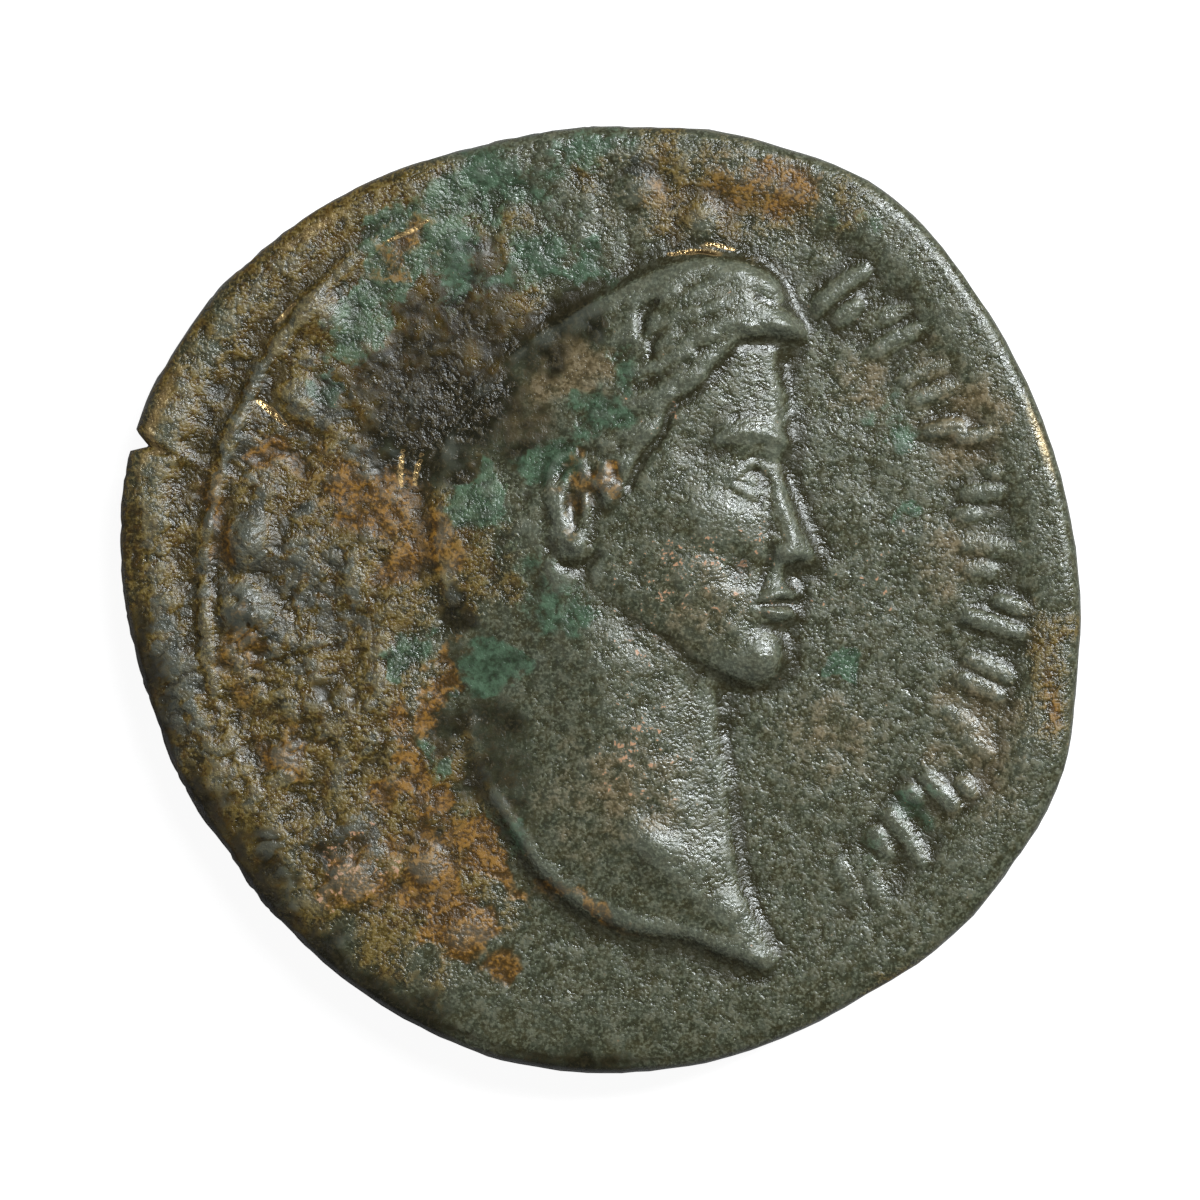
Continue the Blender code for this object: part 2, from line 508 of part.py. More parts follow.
def struck_places(places):
    """Where the blank's points go on the coin. Their heights run from 0 on top to -1 underneath."""
    a, b, down = places.T
    share, bearing = disc_place(a, b)
    outer = flan_radius(bearing)
    angle = np.radians(bearing)
    lean = np.pi * np.clip(-down, 0.0, 1.0)
    inset = outer - share * (outer - EDGE_ROUND)
    radius = outer - inset + EDGE_ROUND * np.sin(lean)
    x, y = radius * np.cos(angle), radius * np.sin(angle)
    centre = outline_centre()
    above = REVERSE_RELIEF + FIELD_THICKNESS + obverse(x, y, inset, bearing)
    below = REVERSE_RELIEF - reverse(x, y, inset)
    upper = above - EDGE_ROUND * (1.0 - np.cos(lean))
    lower = below + EDGE_ROUND * (1.0 + np.cos(lean))
    z = np.where(lean < np.pi / 2, upper, lower)
    return np.column_stack([x - centre[0], y - centre[1], z])


def outline_centre():
    """The middle of the outline's bounding box."""
    bearing = np.linspace(0.0, 360.0, 7200, endpoint=False)
    radius = flan_radius(bearing)
    x, y = radius * np.cos(np.radians(bearing)), radius * np.sin(np.radians(bearing))
    return (x.min() + x.max()) / 2, (y.min() + y.max()) / 2


def patina_material():
    """Dark olive-brown bronze patina."""
    material = bpy.data.materials.new("bronze_patina")
    material.use_nodes = True
    shader = material.node_tree.nodes["Principled BSDF"]
    shader.inputs["Base Color"].default_value = (0.065, 0.062, 0.043, 1.0)
    shader.inputs["Metallic"].default_value = 0.55
    shader.inputs["Roughness"].default_value = 0.45
    return material


def build_coin(collection):
    """The coin: a blank moved to the struck form, worn, and simplified where it is plain."""
    bm = blank_mesh(CELLS, EDGE_RINGS)
    for vert, place in zip(bm.verts, struck_places(np.array([vert.co for vert in bm.verts]))):
        vert.co = place
    for _ in range(WEAR_PASSES):
        bmesh.ops.smooth_vert(bm, verts=bm.verts, factor=0.5, use_axis_z=True)
    mesh = bpy.data.meshes.new("coin")
    bm.to_mesh(mesh)
    triangles = 2 * len(bm.faces)
    bm.free()
    mesh.materials.append(patina_material())
    coin = bpy.data.objects.new("coin", mesh)
    collection.objects.link(coin)
    plain = coin.vertex_groups.new(name="plain")
    middle_level = REVERSE_RELIEF + FIELD_THICKNESS / 2
    for vert in mesh.vertices:
        plain.add([vert.index], OBVERSE_WEIGHT if vert.co.z > middle_level else 1.0, "REPLACE")
    simplify = coin.modifiers.new("Simplify", "DECIMATE")
    simplify.ratio = MOST_TRIANGLES / triangles
    simplify.vertex_group = plain.name
    simplify.vertex_group_factor = PLAIN_FIRST
    return coin


def main():
    for obj in list(bpy.data.objects):
        bpy.data.objects.remove(obj)
    collection = bpy.data.collections.new("Roman_bronze_coin")
    bpy.context.scene.collection.children.link(collection)
    build_coin(collection)


main()
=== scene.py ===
"""A worn Roman bronze coin, dressed: the struck relief at full fineness, and its patina.

The coin lies on its reverse with the portrait up. Metres, +Z up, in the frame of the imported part.
"""

import math

import bmesh
import bpy
import numpy as np
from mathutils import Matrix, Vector, noise


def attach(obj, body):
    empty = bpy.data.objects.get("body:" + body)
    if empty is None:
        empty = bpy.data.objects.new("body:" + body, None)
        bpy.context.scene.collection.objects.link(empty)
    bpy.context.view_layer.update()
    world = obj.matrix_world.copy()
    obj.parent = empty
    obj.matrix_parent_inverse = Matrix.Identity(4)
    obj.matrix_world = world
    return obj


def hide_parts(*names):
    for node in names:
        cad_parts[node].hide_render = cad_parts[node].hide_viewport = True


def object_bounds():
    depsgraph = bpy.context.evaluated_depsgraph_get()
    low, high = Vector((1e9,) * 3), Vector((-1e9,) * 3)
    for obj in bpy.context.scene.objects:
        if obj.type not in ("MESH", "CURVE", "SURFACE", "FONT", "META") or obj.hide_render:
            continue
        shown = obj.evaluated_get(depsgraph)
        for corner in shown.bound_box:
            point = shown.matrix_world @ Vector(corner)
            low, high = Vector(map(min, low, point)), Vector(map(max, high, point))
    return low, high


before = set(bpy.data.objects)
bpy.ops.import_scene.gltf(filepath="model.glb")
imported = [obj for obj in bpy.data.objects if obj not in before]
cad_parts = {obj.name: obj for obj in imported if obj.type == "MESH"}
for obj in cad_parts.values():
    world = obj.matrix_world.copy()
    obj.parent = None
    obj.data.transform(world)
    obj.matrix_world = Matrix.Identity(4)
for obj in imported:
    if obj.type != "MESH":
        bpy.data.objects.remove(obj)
CAD_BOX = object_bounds()

# The flan: its mean radius, its outline as (bearing in degrees, share of that radius), its levels,
# and how far the obverse drops at its edge on one side, with that drop's width and middle
FLAN_RADIUS = 0.0165
FLAN_OUTLINE = [
    (0, 1.004), (20, 0.999), (38, 1.013), (55, 1.040), (72, 1.014), (90, 0.990), (108, 0.986),
    (130, 1.014), (154, 1.037), (168, 1.023), (182, 0.992), (198, 0.962), (216, 0.946),
    (236, 0.963), (262, 0.991), (284, 0.998), (302, 0.998), (318, 1.023), (328, 1.028),
    (339, 1.037), (350, 1.014),
]
FIELD_THICKNESS = 0.0030
EDGE_ROUND = 0.00055
SHOULDER_DROP = 0.00045
SHOULDER_WIDTH = 0.0026
SHOULDER_BEARING = 217.0
SHOULDER_FADE = 3

# The crack in the flan's edge
CRACK_BEARING = 161.3
CRACK_DEPTH = 0.00058
CRACK_WIDTH = 0.0007
CRACK_LENGTH = 0.0021
CRACK_GROOVE = 0.00022

# The obverse rim by bearing in degrees: its width and its height over the field
RIM_PROFILE = [
    (0, 0.00110, 0.00018), (35, 0.00140, 0.00020), (65, 0.00140, 0.00016), (88, 0.00080, 0.00012),
    (125, 0.00080, 0.00014), (160, 0.00105, 0.00030), (195, 0.00110, 0.00018),
    (230, 0.00160, 0.00004), (268, 0.00200, 0.00003), (308, 0.00180, 0.00010), (338, 0.00140, 0.00020),
]
RIM_SLOPE = 0.0013

# The worn ring of beads round the die's edge, which the strike set off the flan's middle
DIE_CENTRE = (0.0016, 0.0003)
BORDER_RADIUS = 0.0152
BORDER_WIDTH = 0.00042
BORDER_HEIGHT = 0.00024
BORDER_BEADS = 84
BEAD_SHARE = 0.1
BORDER_BEARING = 162.0
BORDER_FADE = 6

# The inscription's place: rows of shallow strokes that are no letters, each arc given by its first
# and last bearing, the share of the relief that wear has left and how much wear has spread it.
# The wear on the groups of strokes is uneven, and every second group of the list comes next
LEGEND_CENTRE = (0.0006, 0.0002)
LEGEND_RADIUS = 0.0130
LEGEND_HEIGHT = 0.0022
LEGEND_PITCH = 9.4
LEGEND_RELIEF = 0.00018
STROKE_WIDTH = 0.00040
STROKE_FLATNESS = 1.3
STROKE_ENDS = 0.8
GROUP_STEP = 2
UNEVEN_WEAR = 0.32
LEGEND_ARCS = [(53.0, -55.0, 1.0, 1.15), (228.0, 146.0, 0.34, 1.8), (143.0, 84.0, 0.14, 1.8)]
STROKE_GROUPS = [
    [((-0.18, -0.42), (-0.08, 0.02), (0.04, 0.42)), ((0.18, -0.42), (0.27, -0.08))],
    [((-0.24, -0.42), (-0.13, 0.02)), ((0.04, -0.04), (0.17, 0.42))],
    [((0.04, -0.42), (0.14, 0.00), (0.26, 0.42)), ((-0.22, 0.06), (-0.12, 0.42))],
    [((-0.06, -0.26), (0.07, 0.28)), ((0.24, -0.42), (0.28, -0.26)), ((-0.28, 0.24), (-0.24, 0.40))],
    [((-0.22, -0.32), (-0.06, 0.32)), ((0.10, -0.36), (0.24, 0.24))],
]

# Lumps and hollows of corrosion: middle, radius and height
LUMPS = [
    ((-0.0121, 0.0020), 0.00120, 0.00036), ((-0.0121, -0.0004), 0.00130, 0.00040),
    ((-0.0104, 0.0069), 0.00110, 0.00026), ((-0.0097, 0.0097), 0.00130, 0.00026),
    ((-0.0109, -0.0056), 0.00100, 0.00014), ((-0.0086, -0.0097), 0.00120, 0.00016),
    ((-0.0060, -0.0092), 0.00100, 0.00018), ((-0.0045, -0.0115), 0.00120, 0.00012),
    ((0.0014, 0.0142), 0.00100, 0.00018), ((0.0035, 0.0131), 0.00100, 0.00016),
    ((-0.0137, 0.0008), 0.00080, -0.00010), ((-0.0052, -0.0008), 0.00110, -0.00012),
    ((-0.0071, 0.0051), 0.00160, -0.00006), ((-0.0075, -0.0040), 0.00180, 0.00008),
]

# The bust: its height over the field and its place, then its forms in shares of the head's height,
# across from the ear's front edge and up from the chin
BUST_RELIEF = 0.00120
HEAD_HEIGHT = 0.01384
EAR_FRONT = 0.00036
CHIN_LEVEL = -0.00287
HEAD_OUTLINE = [
    (0.475, 0.867), (0.452, 0.850), (0.418, 0.800), (0.428, 0.710), (0.430, 0.640),
    (0.436, 0.592), (0.420, 0.545), (0.427, 0.505), (0.450, 0.445), (0.477, 0.380),
    (0.500, 0.332), (0.502, 0.306), (0.478, 0.292), (0.440, 0.286), (0.434, 0.262),
    (0.443, 0.236), (0.455, 0.218), (0.450, 0.203), (0.437, 0.196), (0.448, 0.184),
    (0.449, 0.166), (0.430, 0.150), (0.416, 0.128), (0.424, 0.095), (0.427, 0.060),
    (0.408, 0.020), (0.365, 0.000), (0.300, 0.005), (0.220, 0.035), (0.130, 0.075),
    (0.040, 0.120), (-0.060, 0.150), (-0.130, 0.130), (-0.210, 0.090), (-0.300, 0.060),
    (-0.380, 0.080), (-0.415, 0.190), (-0.440, 0.340), (-0.435, 0.520), (-0.370, 0.685),
    (-0.255, 0.815), (-0.115, 0.910), (0.015, 0.975), (0.120, 1.030), (0.225, 1.052),
    (0.340, 1.038), (0.405, 0.998), (0.440, 0.930),
]
HAIR_OUTLINE = [
    (0.560, 0.872), (0.440, 0.858), (0.330, 0.852), (0.272, 0.805), (0.225, 0.735),
    (0.150, 0.695), (0.122, 0.630), (0.066, 0.560), (0.032, 0.490), (-0.005, 0.440),
    (-0.040, 0.480), (-0.090, 0.400), (-0.080, 0.320), (-0.110, 0.210), (-0.180, 0.110),
    (-0.300, 0.000), (-0.600, 0.000), (-0.650, 0.700), (0.000, 1.250), (0.560, 1.150),
]
NECK_OUTLINE = [
    (0.300, 0.120), (0.285, 0.030), (0.262, -0.040), (0.268, -0.120), (0.288, -0.240),
    (0.300, -0.360), (0.318, -0.470), (0.352, -0.570), (0.408, -0.680), (0.380, -0.715),
    (0.300, -0.690), (0.225, -0.655), (0.170, -0.632), (0.075, -0.622), (-0.020, -0.598),
    (-0.105, -0.545), (-0.185, -0.470), (-0.250, -0.370), (-0.310, -0.270), (-0.350, -0.150),
    (-0.368, -0.020), (-0.372, 0.110), (-0.300, 0.260), (0.000, 0.400),
]
EAR_OUTLINE = [
    (-0.055, 0.515), (-0.072, 0.568), (-0.112, 0.585), (-0.155, 0.555), (-0.166, 0.475),
    (-0.145, 0.385), (-0.108, 0.325), (-0.072, 0.318), (-0.055, 0.370), (-0.052, 0.445),
]

# Each swelling or hollow: its middle, its two radii, its turn in degrees and its height
FACE_MOUNDS = {
    "eye socket": ((0.370, 0.515), (0.078, 0.066), 0, -0.24),
    "temple": ((0.230, 0.590), (0.080, 0.100), 0, -0.07),
    "eyeball": ((0.352, 0.503), (0.052, 0.038), 8, 0.20),
    "cheekbone": ((0.270, 0.400), (0.140, 0.090), -20, 0.12),
    "jaw muscle": ((0.200, 0.230), (0.140, 0.110), 25, 0.05),
    "cheek hollow": ((0.330, 0.270), (0.070, 0.090), 20, -0.08),
    "nose wing": ((0.440, 0.318), (0.038, 0.034), 0, 0.15),
    "nostril": ((0.468, 0.298), (0.020, 0.013), 10, -0.16),
    "lip fold": ((0.398, 0.136), (0.052, 0.026), 0, -0.08),
    "chin": ((0.376, 0.066), (0.066, 0.062), 0, 0.13),
}
EAR_MOUNDS = {
    "ear's middle": ((-0.108, 0.450), (0.075, 0.140), 0, 0.08),
    "ear hollow": ((-0.092, 0.435), (0.034, 0.064), 0, -0.18),
    "ear lobe": ((-0.088, 0.345), (0.032, 0.036), 0, 0.14),
    "ear flap": ((-0.062, 0.440), (0.019, 0.032), 0, 0.13),
}
HAIR_MOUNDS = {
    "lock before the ear": ((-0.022, 0.500), (0.026, 0.050), -8, 0.14),
    "brow of the cap": ((0.330, 0.930), (0.100, 0.060), 0, 0.05),
}

# Each ridge or groove: its path, its half width, the share of it kept at its ends, and its height
FACE_RIDGES = {
    "brow": ([(0.428, 0.600), (0.360, 0.624), (0.262, 0.600)], 0.040, 0.40, 0.15),
    "upper lid": ([(0.402, 0.508), (0.376, 0.536), (0.338, 0.537), (0.292, 0.500)], 0.019, 0.45, 0.12),
    "lower lid": ([(0.392, 0.484), (0.350, 0.468), (0.300, 0.490)], 0.016, 0.45, 0.08),
    "nose": ([(0.410, 0.530), (0.430, 0.450), (0.455, 0.350)], 0.038, 0.70, 0.12),
    "nose fold": ([(0.402, 0.345), (0.394, 0.300), (0.370, 0.230)], 0.022, 0.40, -0.09),
    "upper lip": ([(0.450, 0.224), (0.418, 0.220), (0.374, 0.203)], 0.024, 0.40, 0.13),
    "lower lip": ([(0.446, 0.173), (0.418, 0.169), (0.380, 0.186)], 0.024, 0.40, 0.13),
    "mouth": ([(0.452, 0.198), (0.415, 0.197), (0.364, 0.194)], 0.013, 0.45, -0.18),
    "jaw": ([(0.330, 0.050), (0.210, 0.100), (0.100, 0.165), (0.020, 0.260)], 0.085, 0.35, 0.05),
}
EAR_RIDGES = {
    "ear rim": ([(-0.062, 0.515), (-0.078, 0.556), (-0.113, 0.568), (-0.146, 0.538),
                 (-0.152, 0.472), (-0.134, 0.396), (-0.104, 0.345), (-0.080, 0.335)], 0.030, 0.80, 0.15),
    "ear fold": ([(-0.098, 0.525), (-0.122, 0.480), (-0.116, 0.415), (-0.094, 0.380)],
                 0.017, 0.35, 0.08),
}
HAIR_RIDGES = {
    "parting of two locks": ([(0.112, 0.945), (0.084, 0.915), (0.076, 0.872)], 0.026, 0.50, -0.20),
    "lock gap": ([(0.128, 0.862), (0.104, 0.842), (0.098, 0.806)], 0.020, 0.40, -0.13),
    "fringe edge": ([(0.470, 0.884), (0.400, 0.884), (0.325, 0.880)], 0.030, 0.60, 0.10),
    "fringe hollow": ([(0.430, 0.930), (0.360, 0.955), (0.280, 0.950)], 0.034, 0.40, -0.06),
}
HAIRLINE_GROOVES = {
    "under the fringe": ([(0.455, 0.846), (0.390, 0.842), (0.320, 0.838)], 0.026, 0.50, -0.14),
    "temple": ([(0.262, 0.786), (0.210, 0.722), (0.150, 0.676), (0.128, 0.620),
                (0.078, 0.552), (0.046, 0.480)], 0.018, 0.60, -0.10),
    "behind the jaw": ([(-0.060, 0.290), (-0.072, 0.200), (-0.120, 0.130)], 0.030, 0.50, -0.14),
    "under the ear": ([(-0.160, 0.360), (-0.125, 0.298), (-0.070, 0.286), (-0.030, 0.320)],
                      0.024, 0.50, -0.14),
}
NECK_RIDGES = {
    "neck muscle": ([(-0.040, 0.080), (0.040, -0.100), (0.110, -0.260), (0.180, -0.420)],
                    0.190, 0.70, 0.08),
    "neck hollow": ([(0.190, -0.040), (0.220, -0.200), (0.250, -0.360)], 0.090, 0.60, -0.05),
    "collar bone": ([(0.300, -0.560), (0.200, -0.500), (0.100, -0.400)], 0.110, 0.50, 0.07),
    "cut edge": ([(0.370, -0.690), (0.230, -0.640), (0.080, -0.605), (-0.080, -0.545),
                  (-0.200, -0.430), (-0.290, -0.280)], 0.050, 0.50, 0.08),
}
NECK_MOUNDS = {
    "shoulder": ((0.085, -0.390), (0.105, 0.075), -30, 0.09),
    "throat": ((0.215, 0.000), (0.060, 0.090), 0, -0.06),
}

# The neck and the head: the height of the edge, the edge's slope, the dome's rise and its reach
NECK_SWELL = (0.22, 0.050, 0.34, 0.13)
HEAD_SWELL = (0.32, 0.052, 0.38, 0.12)
HAIR_THICKNESS = 0.14
HAIR_EDGE = 0.026
EAR_RISE = 0.08
EAR_EDGE = 0.022

# The locks of hair, which overlap in rings round the crown: their size, the fewest in a ring, how far
# each ring is turned from the last, their bend and wander, their roots' height as a share of their
# tips', the share of their length in which a tip ends, and their relief
CROWN = (-0.230, 0.640)
LOCK_LENGTH = 0.190
LOCK_WIDTH = 0.080
FEWEST_LOCKS = 5.0
LOCK_TURN = 0.37
LOCK_BEND = 0.7
LOCK_WAVE = 0.028
LOCK_WAVE_TURNS = ((13.0, 9.0), (15.0, -7.0))
LOCK_ROOT = 0.3
LOCK_TIP = 0.12
LOCK_RELIEF = 0.12

# Wear, by its middle, its two radii, its turn in degrees and the share that it takes: from the
# locks at the crown, from the back of the head and its nape, and from the back of the neck
LOCK_WEAR = [((-0.330, 0.800), (0.42, 0.42), 0, 0.75)]
HEAD_WEAR = [((-0.450, 0.720), (0.66, 0.90), -32, 0.94), ((-0.330, 0.120), (0.34, 0.34), 0, 0.80)]
NECK_WEAR = [((-0.440, -0.020), (0.44, 0.46), 12, 0.80)]

# The reverse: its rim, and a laurel wreath round an empty field. The wreath is a little lower than
# the rim, its stem and leaves thin out towards their ends, and a berry stands to each side of the
# stem in turn
REVERSE_RELIEF = 0.00042
REVERSE_RIM_WIDTH = 0.0018
WREATH_RADIUS = 0.0098
WREATH_STEM_WIDTH = 0.00035
STEM_ENDS = 0.6
LEAF_LENGTH = 0.0026
LEAF_WIDTH = 0.00062
LEAF_ENDS = 0.15
LEAF_SPLAY = 34.0
LEAF_GROUPS = 13
WREATH_GAP = 16.0
LEAF_FLATNESS = 1.4
BERRY_RADIUS = 0.00040
BERRY_OFFSET = 0.0011
TIE_WIDTH = 0.0022
WREATH_SHARE = 0.9

# The mesh: cells across each face, rings round the edge, the triangles kept under the obverse,
# and passes of wear
CELLS = 285
EDGE_RINGS = 8
PLAIN_TRIANGLES = 30000
WEAR_PASSES = 2

# Unevenness from corrosion, as pairs of the size of its bumps and their height. The good side gets
# a share of it, and the rough side's patches add to that: middle, two radii, turn and strength
CORROSION = [(0.0030, 0.000060), (0.0014, 0.000032), (0.00065, 0.000013)]
GOOD_SIDE = 0.6
ROUGH_SIDE = [((-0.0115, 0.0), (0.0080, 0.0170), 0, 1.5), ((-0.0010, 0.0140), (0.0090, 0.0040), 0, 0.7)]

# Crevices on the rough side: the size of their net, their width as a share of its noise, and their
# depth
CREVICE_SIZE = 0.0017
CREVICE_WIDTH = 0.16
CREVICE_DEPTH = 0.00007

# How far round a place its height is compared, and how far under that it counts as a full hollow.
# The wider look is so many times as far and as deep, and counts for a share
CAVITY_REACH = 0.0004
CAVITY_DEPTH = 0.000030
WIDER_REACH = 3
WIDER_DEPTH = 4.0
WIDER_SHARE = 0.3

# Layered noise: how much weaker and how many times smaller each layer is than the last, and how many
# layers there are
BUMP_LAYERS = (0.8, 2.1, 3)
CLUMP_LAYERS = (0.7, 2.2, 4)

# Stains, each in patches, in millimetres: middle, two radii, turn in degrees and strength
MM = 0.001
STAINS = {
    "earth": [
        ((-11.5, 0.0), (7.0, 15.0), 0, 1.1), ((-8.0, 10.0), (7.5, 6.5), 40, 1.05),
        ((-7.5, -8.0), (5.0, 6.5), 30, 0.9), ((-5.5, 2.0), (3.0, 3.6), 0, 0.8),
        ((4.0, 14.0), (6.0, 2.4), -8, 0.62), ((15.4, -2.6), (2.0, 3.0), 0, 0.5),
        ((9.5, -14.0), (4.0, 1.6), 35, 0.35),
    ],
    "slate": [
        ((-11.0, 0.5), (4.0, 4.0), 0, 0.55), ((-12.0, 6.0), (2.4, 3.0), 0, 0.45),
        ((-8.6, -8.6), (2.0, 1.6), 0, 0.55), ((-9.2, 6.6), (1.6, 1.6), 0, 0.65),
        ((-7.8, 4.4), (2.4, 1.8), 0, 0.45), ((-14.6, -2.6), (1.2, 3.6), 8, 0.7),
        ((-11.8, 2.6), (1.4, 0.8), 0, 0.7), ((1.4, 14.6), (1.4, 1.0), 0, 0.6),
        ((-8.6, -0.6), (1.0, 1.0), 0, 0.65),
    ],
    "ochre": [
        ((-6.6, -4.2), (0.9, 1.1), 0, 0.8), ((-5.5, -3.0), (0.6, 2.0), -6, 0.8),
        ((-7.0, -6.4), (0.7, 2.0), -12, 0.9), ((-5.6, -6.7), (0.9, 1.2), 0, 0.9),
        ((-4.2, -8.7), (2.5, 0.8), -24, 0.95), ((-6.1, -9.5), (1.4, 1.5), 0, 1.1),
        ((-4.95, -11.2), (1.3, 1.6), 20, 1.1), ((-3.55, -12.6), (0.9, 0.9), 0, 0.9),
        ((-8.3, -9.6), (1.5, 1.5), 0, 0.8), ((-0.3, -10.6), (2.4, 0.45), -26, 0.75),
        ((-10.9, -5.4), (1.2, 1.2), 0, 0.7), ((-11.0, 4.8), (1.4, 1.2), 0, 0.8),
        ((-8.0, 3.6), (2.4, 1.4), -20, 0.8), ((-6.0, 1.6), (2.0, 1.6), 0, 0.9),
        ((-0.9, 3.6), (0.9, 1.3), 0, 0.7), ((0.2, 4.2), (0.6, 0.8), 0, 0.8),
        ((1.6, 14.2), (1.8, 1.6), 0, 0.3), ((5.9, 14.0), (2.8, 1.4), -14, 0.62),
        ((-6.8, 12.2), (2.2, 0.8), 40, 0.6), ((15.6, -3.4), (0.8, 1.4), 0, 0.4),
        ((-12.4, -2.4), (1.0, 2.4), 8, 0.5), ((-13.0, 3.0), (0.8, 3.0), -6, 0.5),
    ],
    "verdigris": [
        ((-7.1, 11.5), (1.5, 4.4), -30, 1.0), ((-3.4, 14.2), (2.8, 1.9), 20, 0.9),
        ((-1.0, 15.7), (2.8, 1.0), 6, 0.7), ((-3.4, 11.8), (4.0, 2.2), 25, 0.6),
        ((-0.4, 11.4), (1.4, 1.0), 0, 0.7), ((-4.1, 3.1), (1.4, 1.5), 0, 1.0),
        ((-1.7, 4.9), (1.4, 1.3), 0, 0.8), ((-0.2, 6.3), (1.6, 1.0), 0, 0.7),
        ((-2.6, 1.0), (1.3, 1.8), 0, 0.5), ((-6.9, -1.8), (1.1, 1.2), 0, 1.0),
        ((-3.9, -2.5), (1.5, 1.1), 15, 1.0), ((-1.3, 0.0), (1.6, 1.5), 0, 0.5),
        ((-3.4, -8.0), (1.1, 0.9), 0, 0.5), ((8.5, -1.9), (1.0, 0.8), 0, 0.7),
        ((10.4, 2.4), (0.8, 0.8), 0, 0.4), ((7.9, 12.8), (1.7, 1.1), -30, 0.6),
        ((-9.2, 7.2), (0.7, 1.5), -20, 0.6), ((-5.8, -5.2), (0.5, 1.5), -10, 0.6),
        ((1.0, 8.3), (1.5, 1.4), 0, 0.45), ((10.4, 6.2), (1.2, 1.6), 0, 0.45),
        ((10.6, -7.6), (1.8, 1.2), 30, 0.5),
    ],
    "soot_and_shade": [
        ((-5.4, 7.0), (3.6, 4.4), -30, 0.9), ((-1.4, 9.2), (2.4, 1.3), 38, 0.85),
        ((-4.8, 10.2), (3.4, 2.4), 30, 0.62), ((-3.4, 6.4), (1.8, 2.2), 0, 0.6),
        ((-4.4, -3.8), (1.6, 3.6), 6, 0.5), ((-5.2, -7.3), (1.1, 1.3), 0, 0.5),
        ((-8.6, 2.6), (1.2, 1.2), 0, 0.42),
        ((-5.0, -0.7), (1.1, 0.9), 0, 0.9), ((-3.9, -5.0), (1.8, 4.4), 18, 0.6),
        # The four patches along the lower-left edge are painted shade, where the edge faces away from the
        # lights.
        ((-13.9, -9.4), (2.9, 6.4), 34, 1.0), ((-8.6, -14.4), (6.4, 2.7), -31, 1.0),
        ((-16.2, -4.0), (1.9, 5.4), 12, 0.9), ((-1.2, -17.0), (6.0, 1.9), -5, 0.8),
        ((-12.7, -0.6), (0.6, 0.8), 0, 0.9), ((-9.4, -8.6), (0.8, 0.5), 20, 0.7),
        ((-6.5, 5.2), (1.2, 1.6), 0, 0.6), ((-13.4, 2.6), (0.7, 1.6), 0, 0.5),
        ((-9.5, -3.0), (1.0, 1.2), 0, 0.5), ((0.2, 3.6), (0.7, 1.3), -20, 0.5),
    ],
    "tan": [
        ((-1.0, 7.9), (1.8, 1.5), 20, 0.9), ((-2.6, 6.6), (1.2, 1.0), 0, 0.5),
        ((2.6, 13.2), (2.2, 1.2), -10, 0.2), ((3.0, -0.6), (2.4, 2.0), 30, 0.3),
        ((12.4, 6.3), (2.0, 2.8), 0, 0.5), ((13.0, -5.0), (1.8, 3.4), 0, 0.55),
        ((7.6, -4.8), (2.6, 1.8), 20, 0.32), ((12.0, 1.4), (1.4, 1.8), 0, 0.5),
        ((0.6, -6.6), (2.8, 2.4), 0, 0.45), ((8.8, 7.6), (1.4, 1.4), 0, 0.4),
    ],
    "copper": [
        ((3.2, 0.4), (4.5, 2.8), 30, 0.34), ((6.2, 0.2), (2.0, 1.4), 0, 0.30),
        ((1.6, -5.6), (2.6, 3.6), -20, 0.30), ((-8.6, -9.2), (2.4, 1.6), -20, 0.40),
        ((9.4, 0.4), (1.6, 2.6), 0, 0.26), ((2.0, 6.4), (1.6, 1.6), 0, 0.26),
    ],
}

# How the stains' patches are bent out of shape: the size of the bends, how far they reach, and where
# in the noise they are taken across and up
STAIN_WANDER = (0.0017, 0.0009)
WANDER_SHIFTS = (3.0, 7.0)

# How each stain breaks up at its edge: the size of its clumps and how ragged they leave it. The
# clumps come in up to a strength, and each stain's are taken a step further on in the noise
EDGE_STRENGTH = 0.3
STAIN_SHIFT = 10.0
STAIN_EDGES = {
    "earth": (0.0016, 0.40), "slate": (0.0005, 0.60), "ochre": (0.0011, 0.36), "verdigris": (0.0013, 0.60),
    "soot_and_shade": (0.0010, 0.35), "tan": (0.0009, 0.35), "copper": (0.0006, 0.10),
}

# How each map's mask is cut in the material: at which level, how softly, and how speckled
MASKS = {
    "earth": (0.40, 0.26, 1.0), "slate": (0.45, 0.12, 0.9), "ochre": (0.42, 0.32, 0.5),
    "verdigris": (0.44, 0.26, 1.2), "soot_and_shade": (0.42, 0.26, 1.6), "tan": (0.42, 0.45, 1.2),
    "copper": (0.62, 0.05, 2.6), "bared": (0.42, 0.22, 0.25),
}

# The tones of the crust in screen values from 0 to 255. The pale, fleck, pits and hollow tones are partly
# painted glints and painted shade
TONES = {
    "patina": (59, 59, 42), "patina cloud": (64, 67, 52), "patina warm": (76, 68, 42),
    "patina pale": (112, 118, 104), "patina fleck": (124, 127, 106),
    "earth": (42, 33, 9), "earth cloud": (83, 66, 21), "earth warm": (85, 58, 16),
    "earth pale": (125, 104, 42), "earth fleck": (134, 122, 84),
    "slate": (60, 64, 60), "tan": (98, 82, 56), "tan pale": (130, 112, 84),
    "soot_and_shade": (18, 16, 7), "soot_and_shade pale": (46, 39, 20),
    "verdigris": (44, 60, 44), "verdigris cloud": (78, 102, 80),
    "ochre": (76, 50, 9), "ochre pale": (134, 93, 24), "copper": (172, 130, 100),
    "pits": (26, 24, 13), "hollow": (34, 29, 14), "crest": (120, 124, 112), "metal": (184, 154, 106),
}

# How far each layer covers what is under it
COVER = {
    "patina warm": 0.35, "patina pale": 0.22, "patina fleck": 0.29,
    "earth warm": 0.5, "earth pale": 0.5, "earth fleck": 0.22,
    "slate": 0.7, "tan": 0.75, "soot_and_shade": 0.9, "verdigris": 0.85, "ochre": 0.9, "copper": 1.0,
    "pits": 0.42, "hollow": 0.65, "crest": 0.22,
}

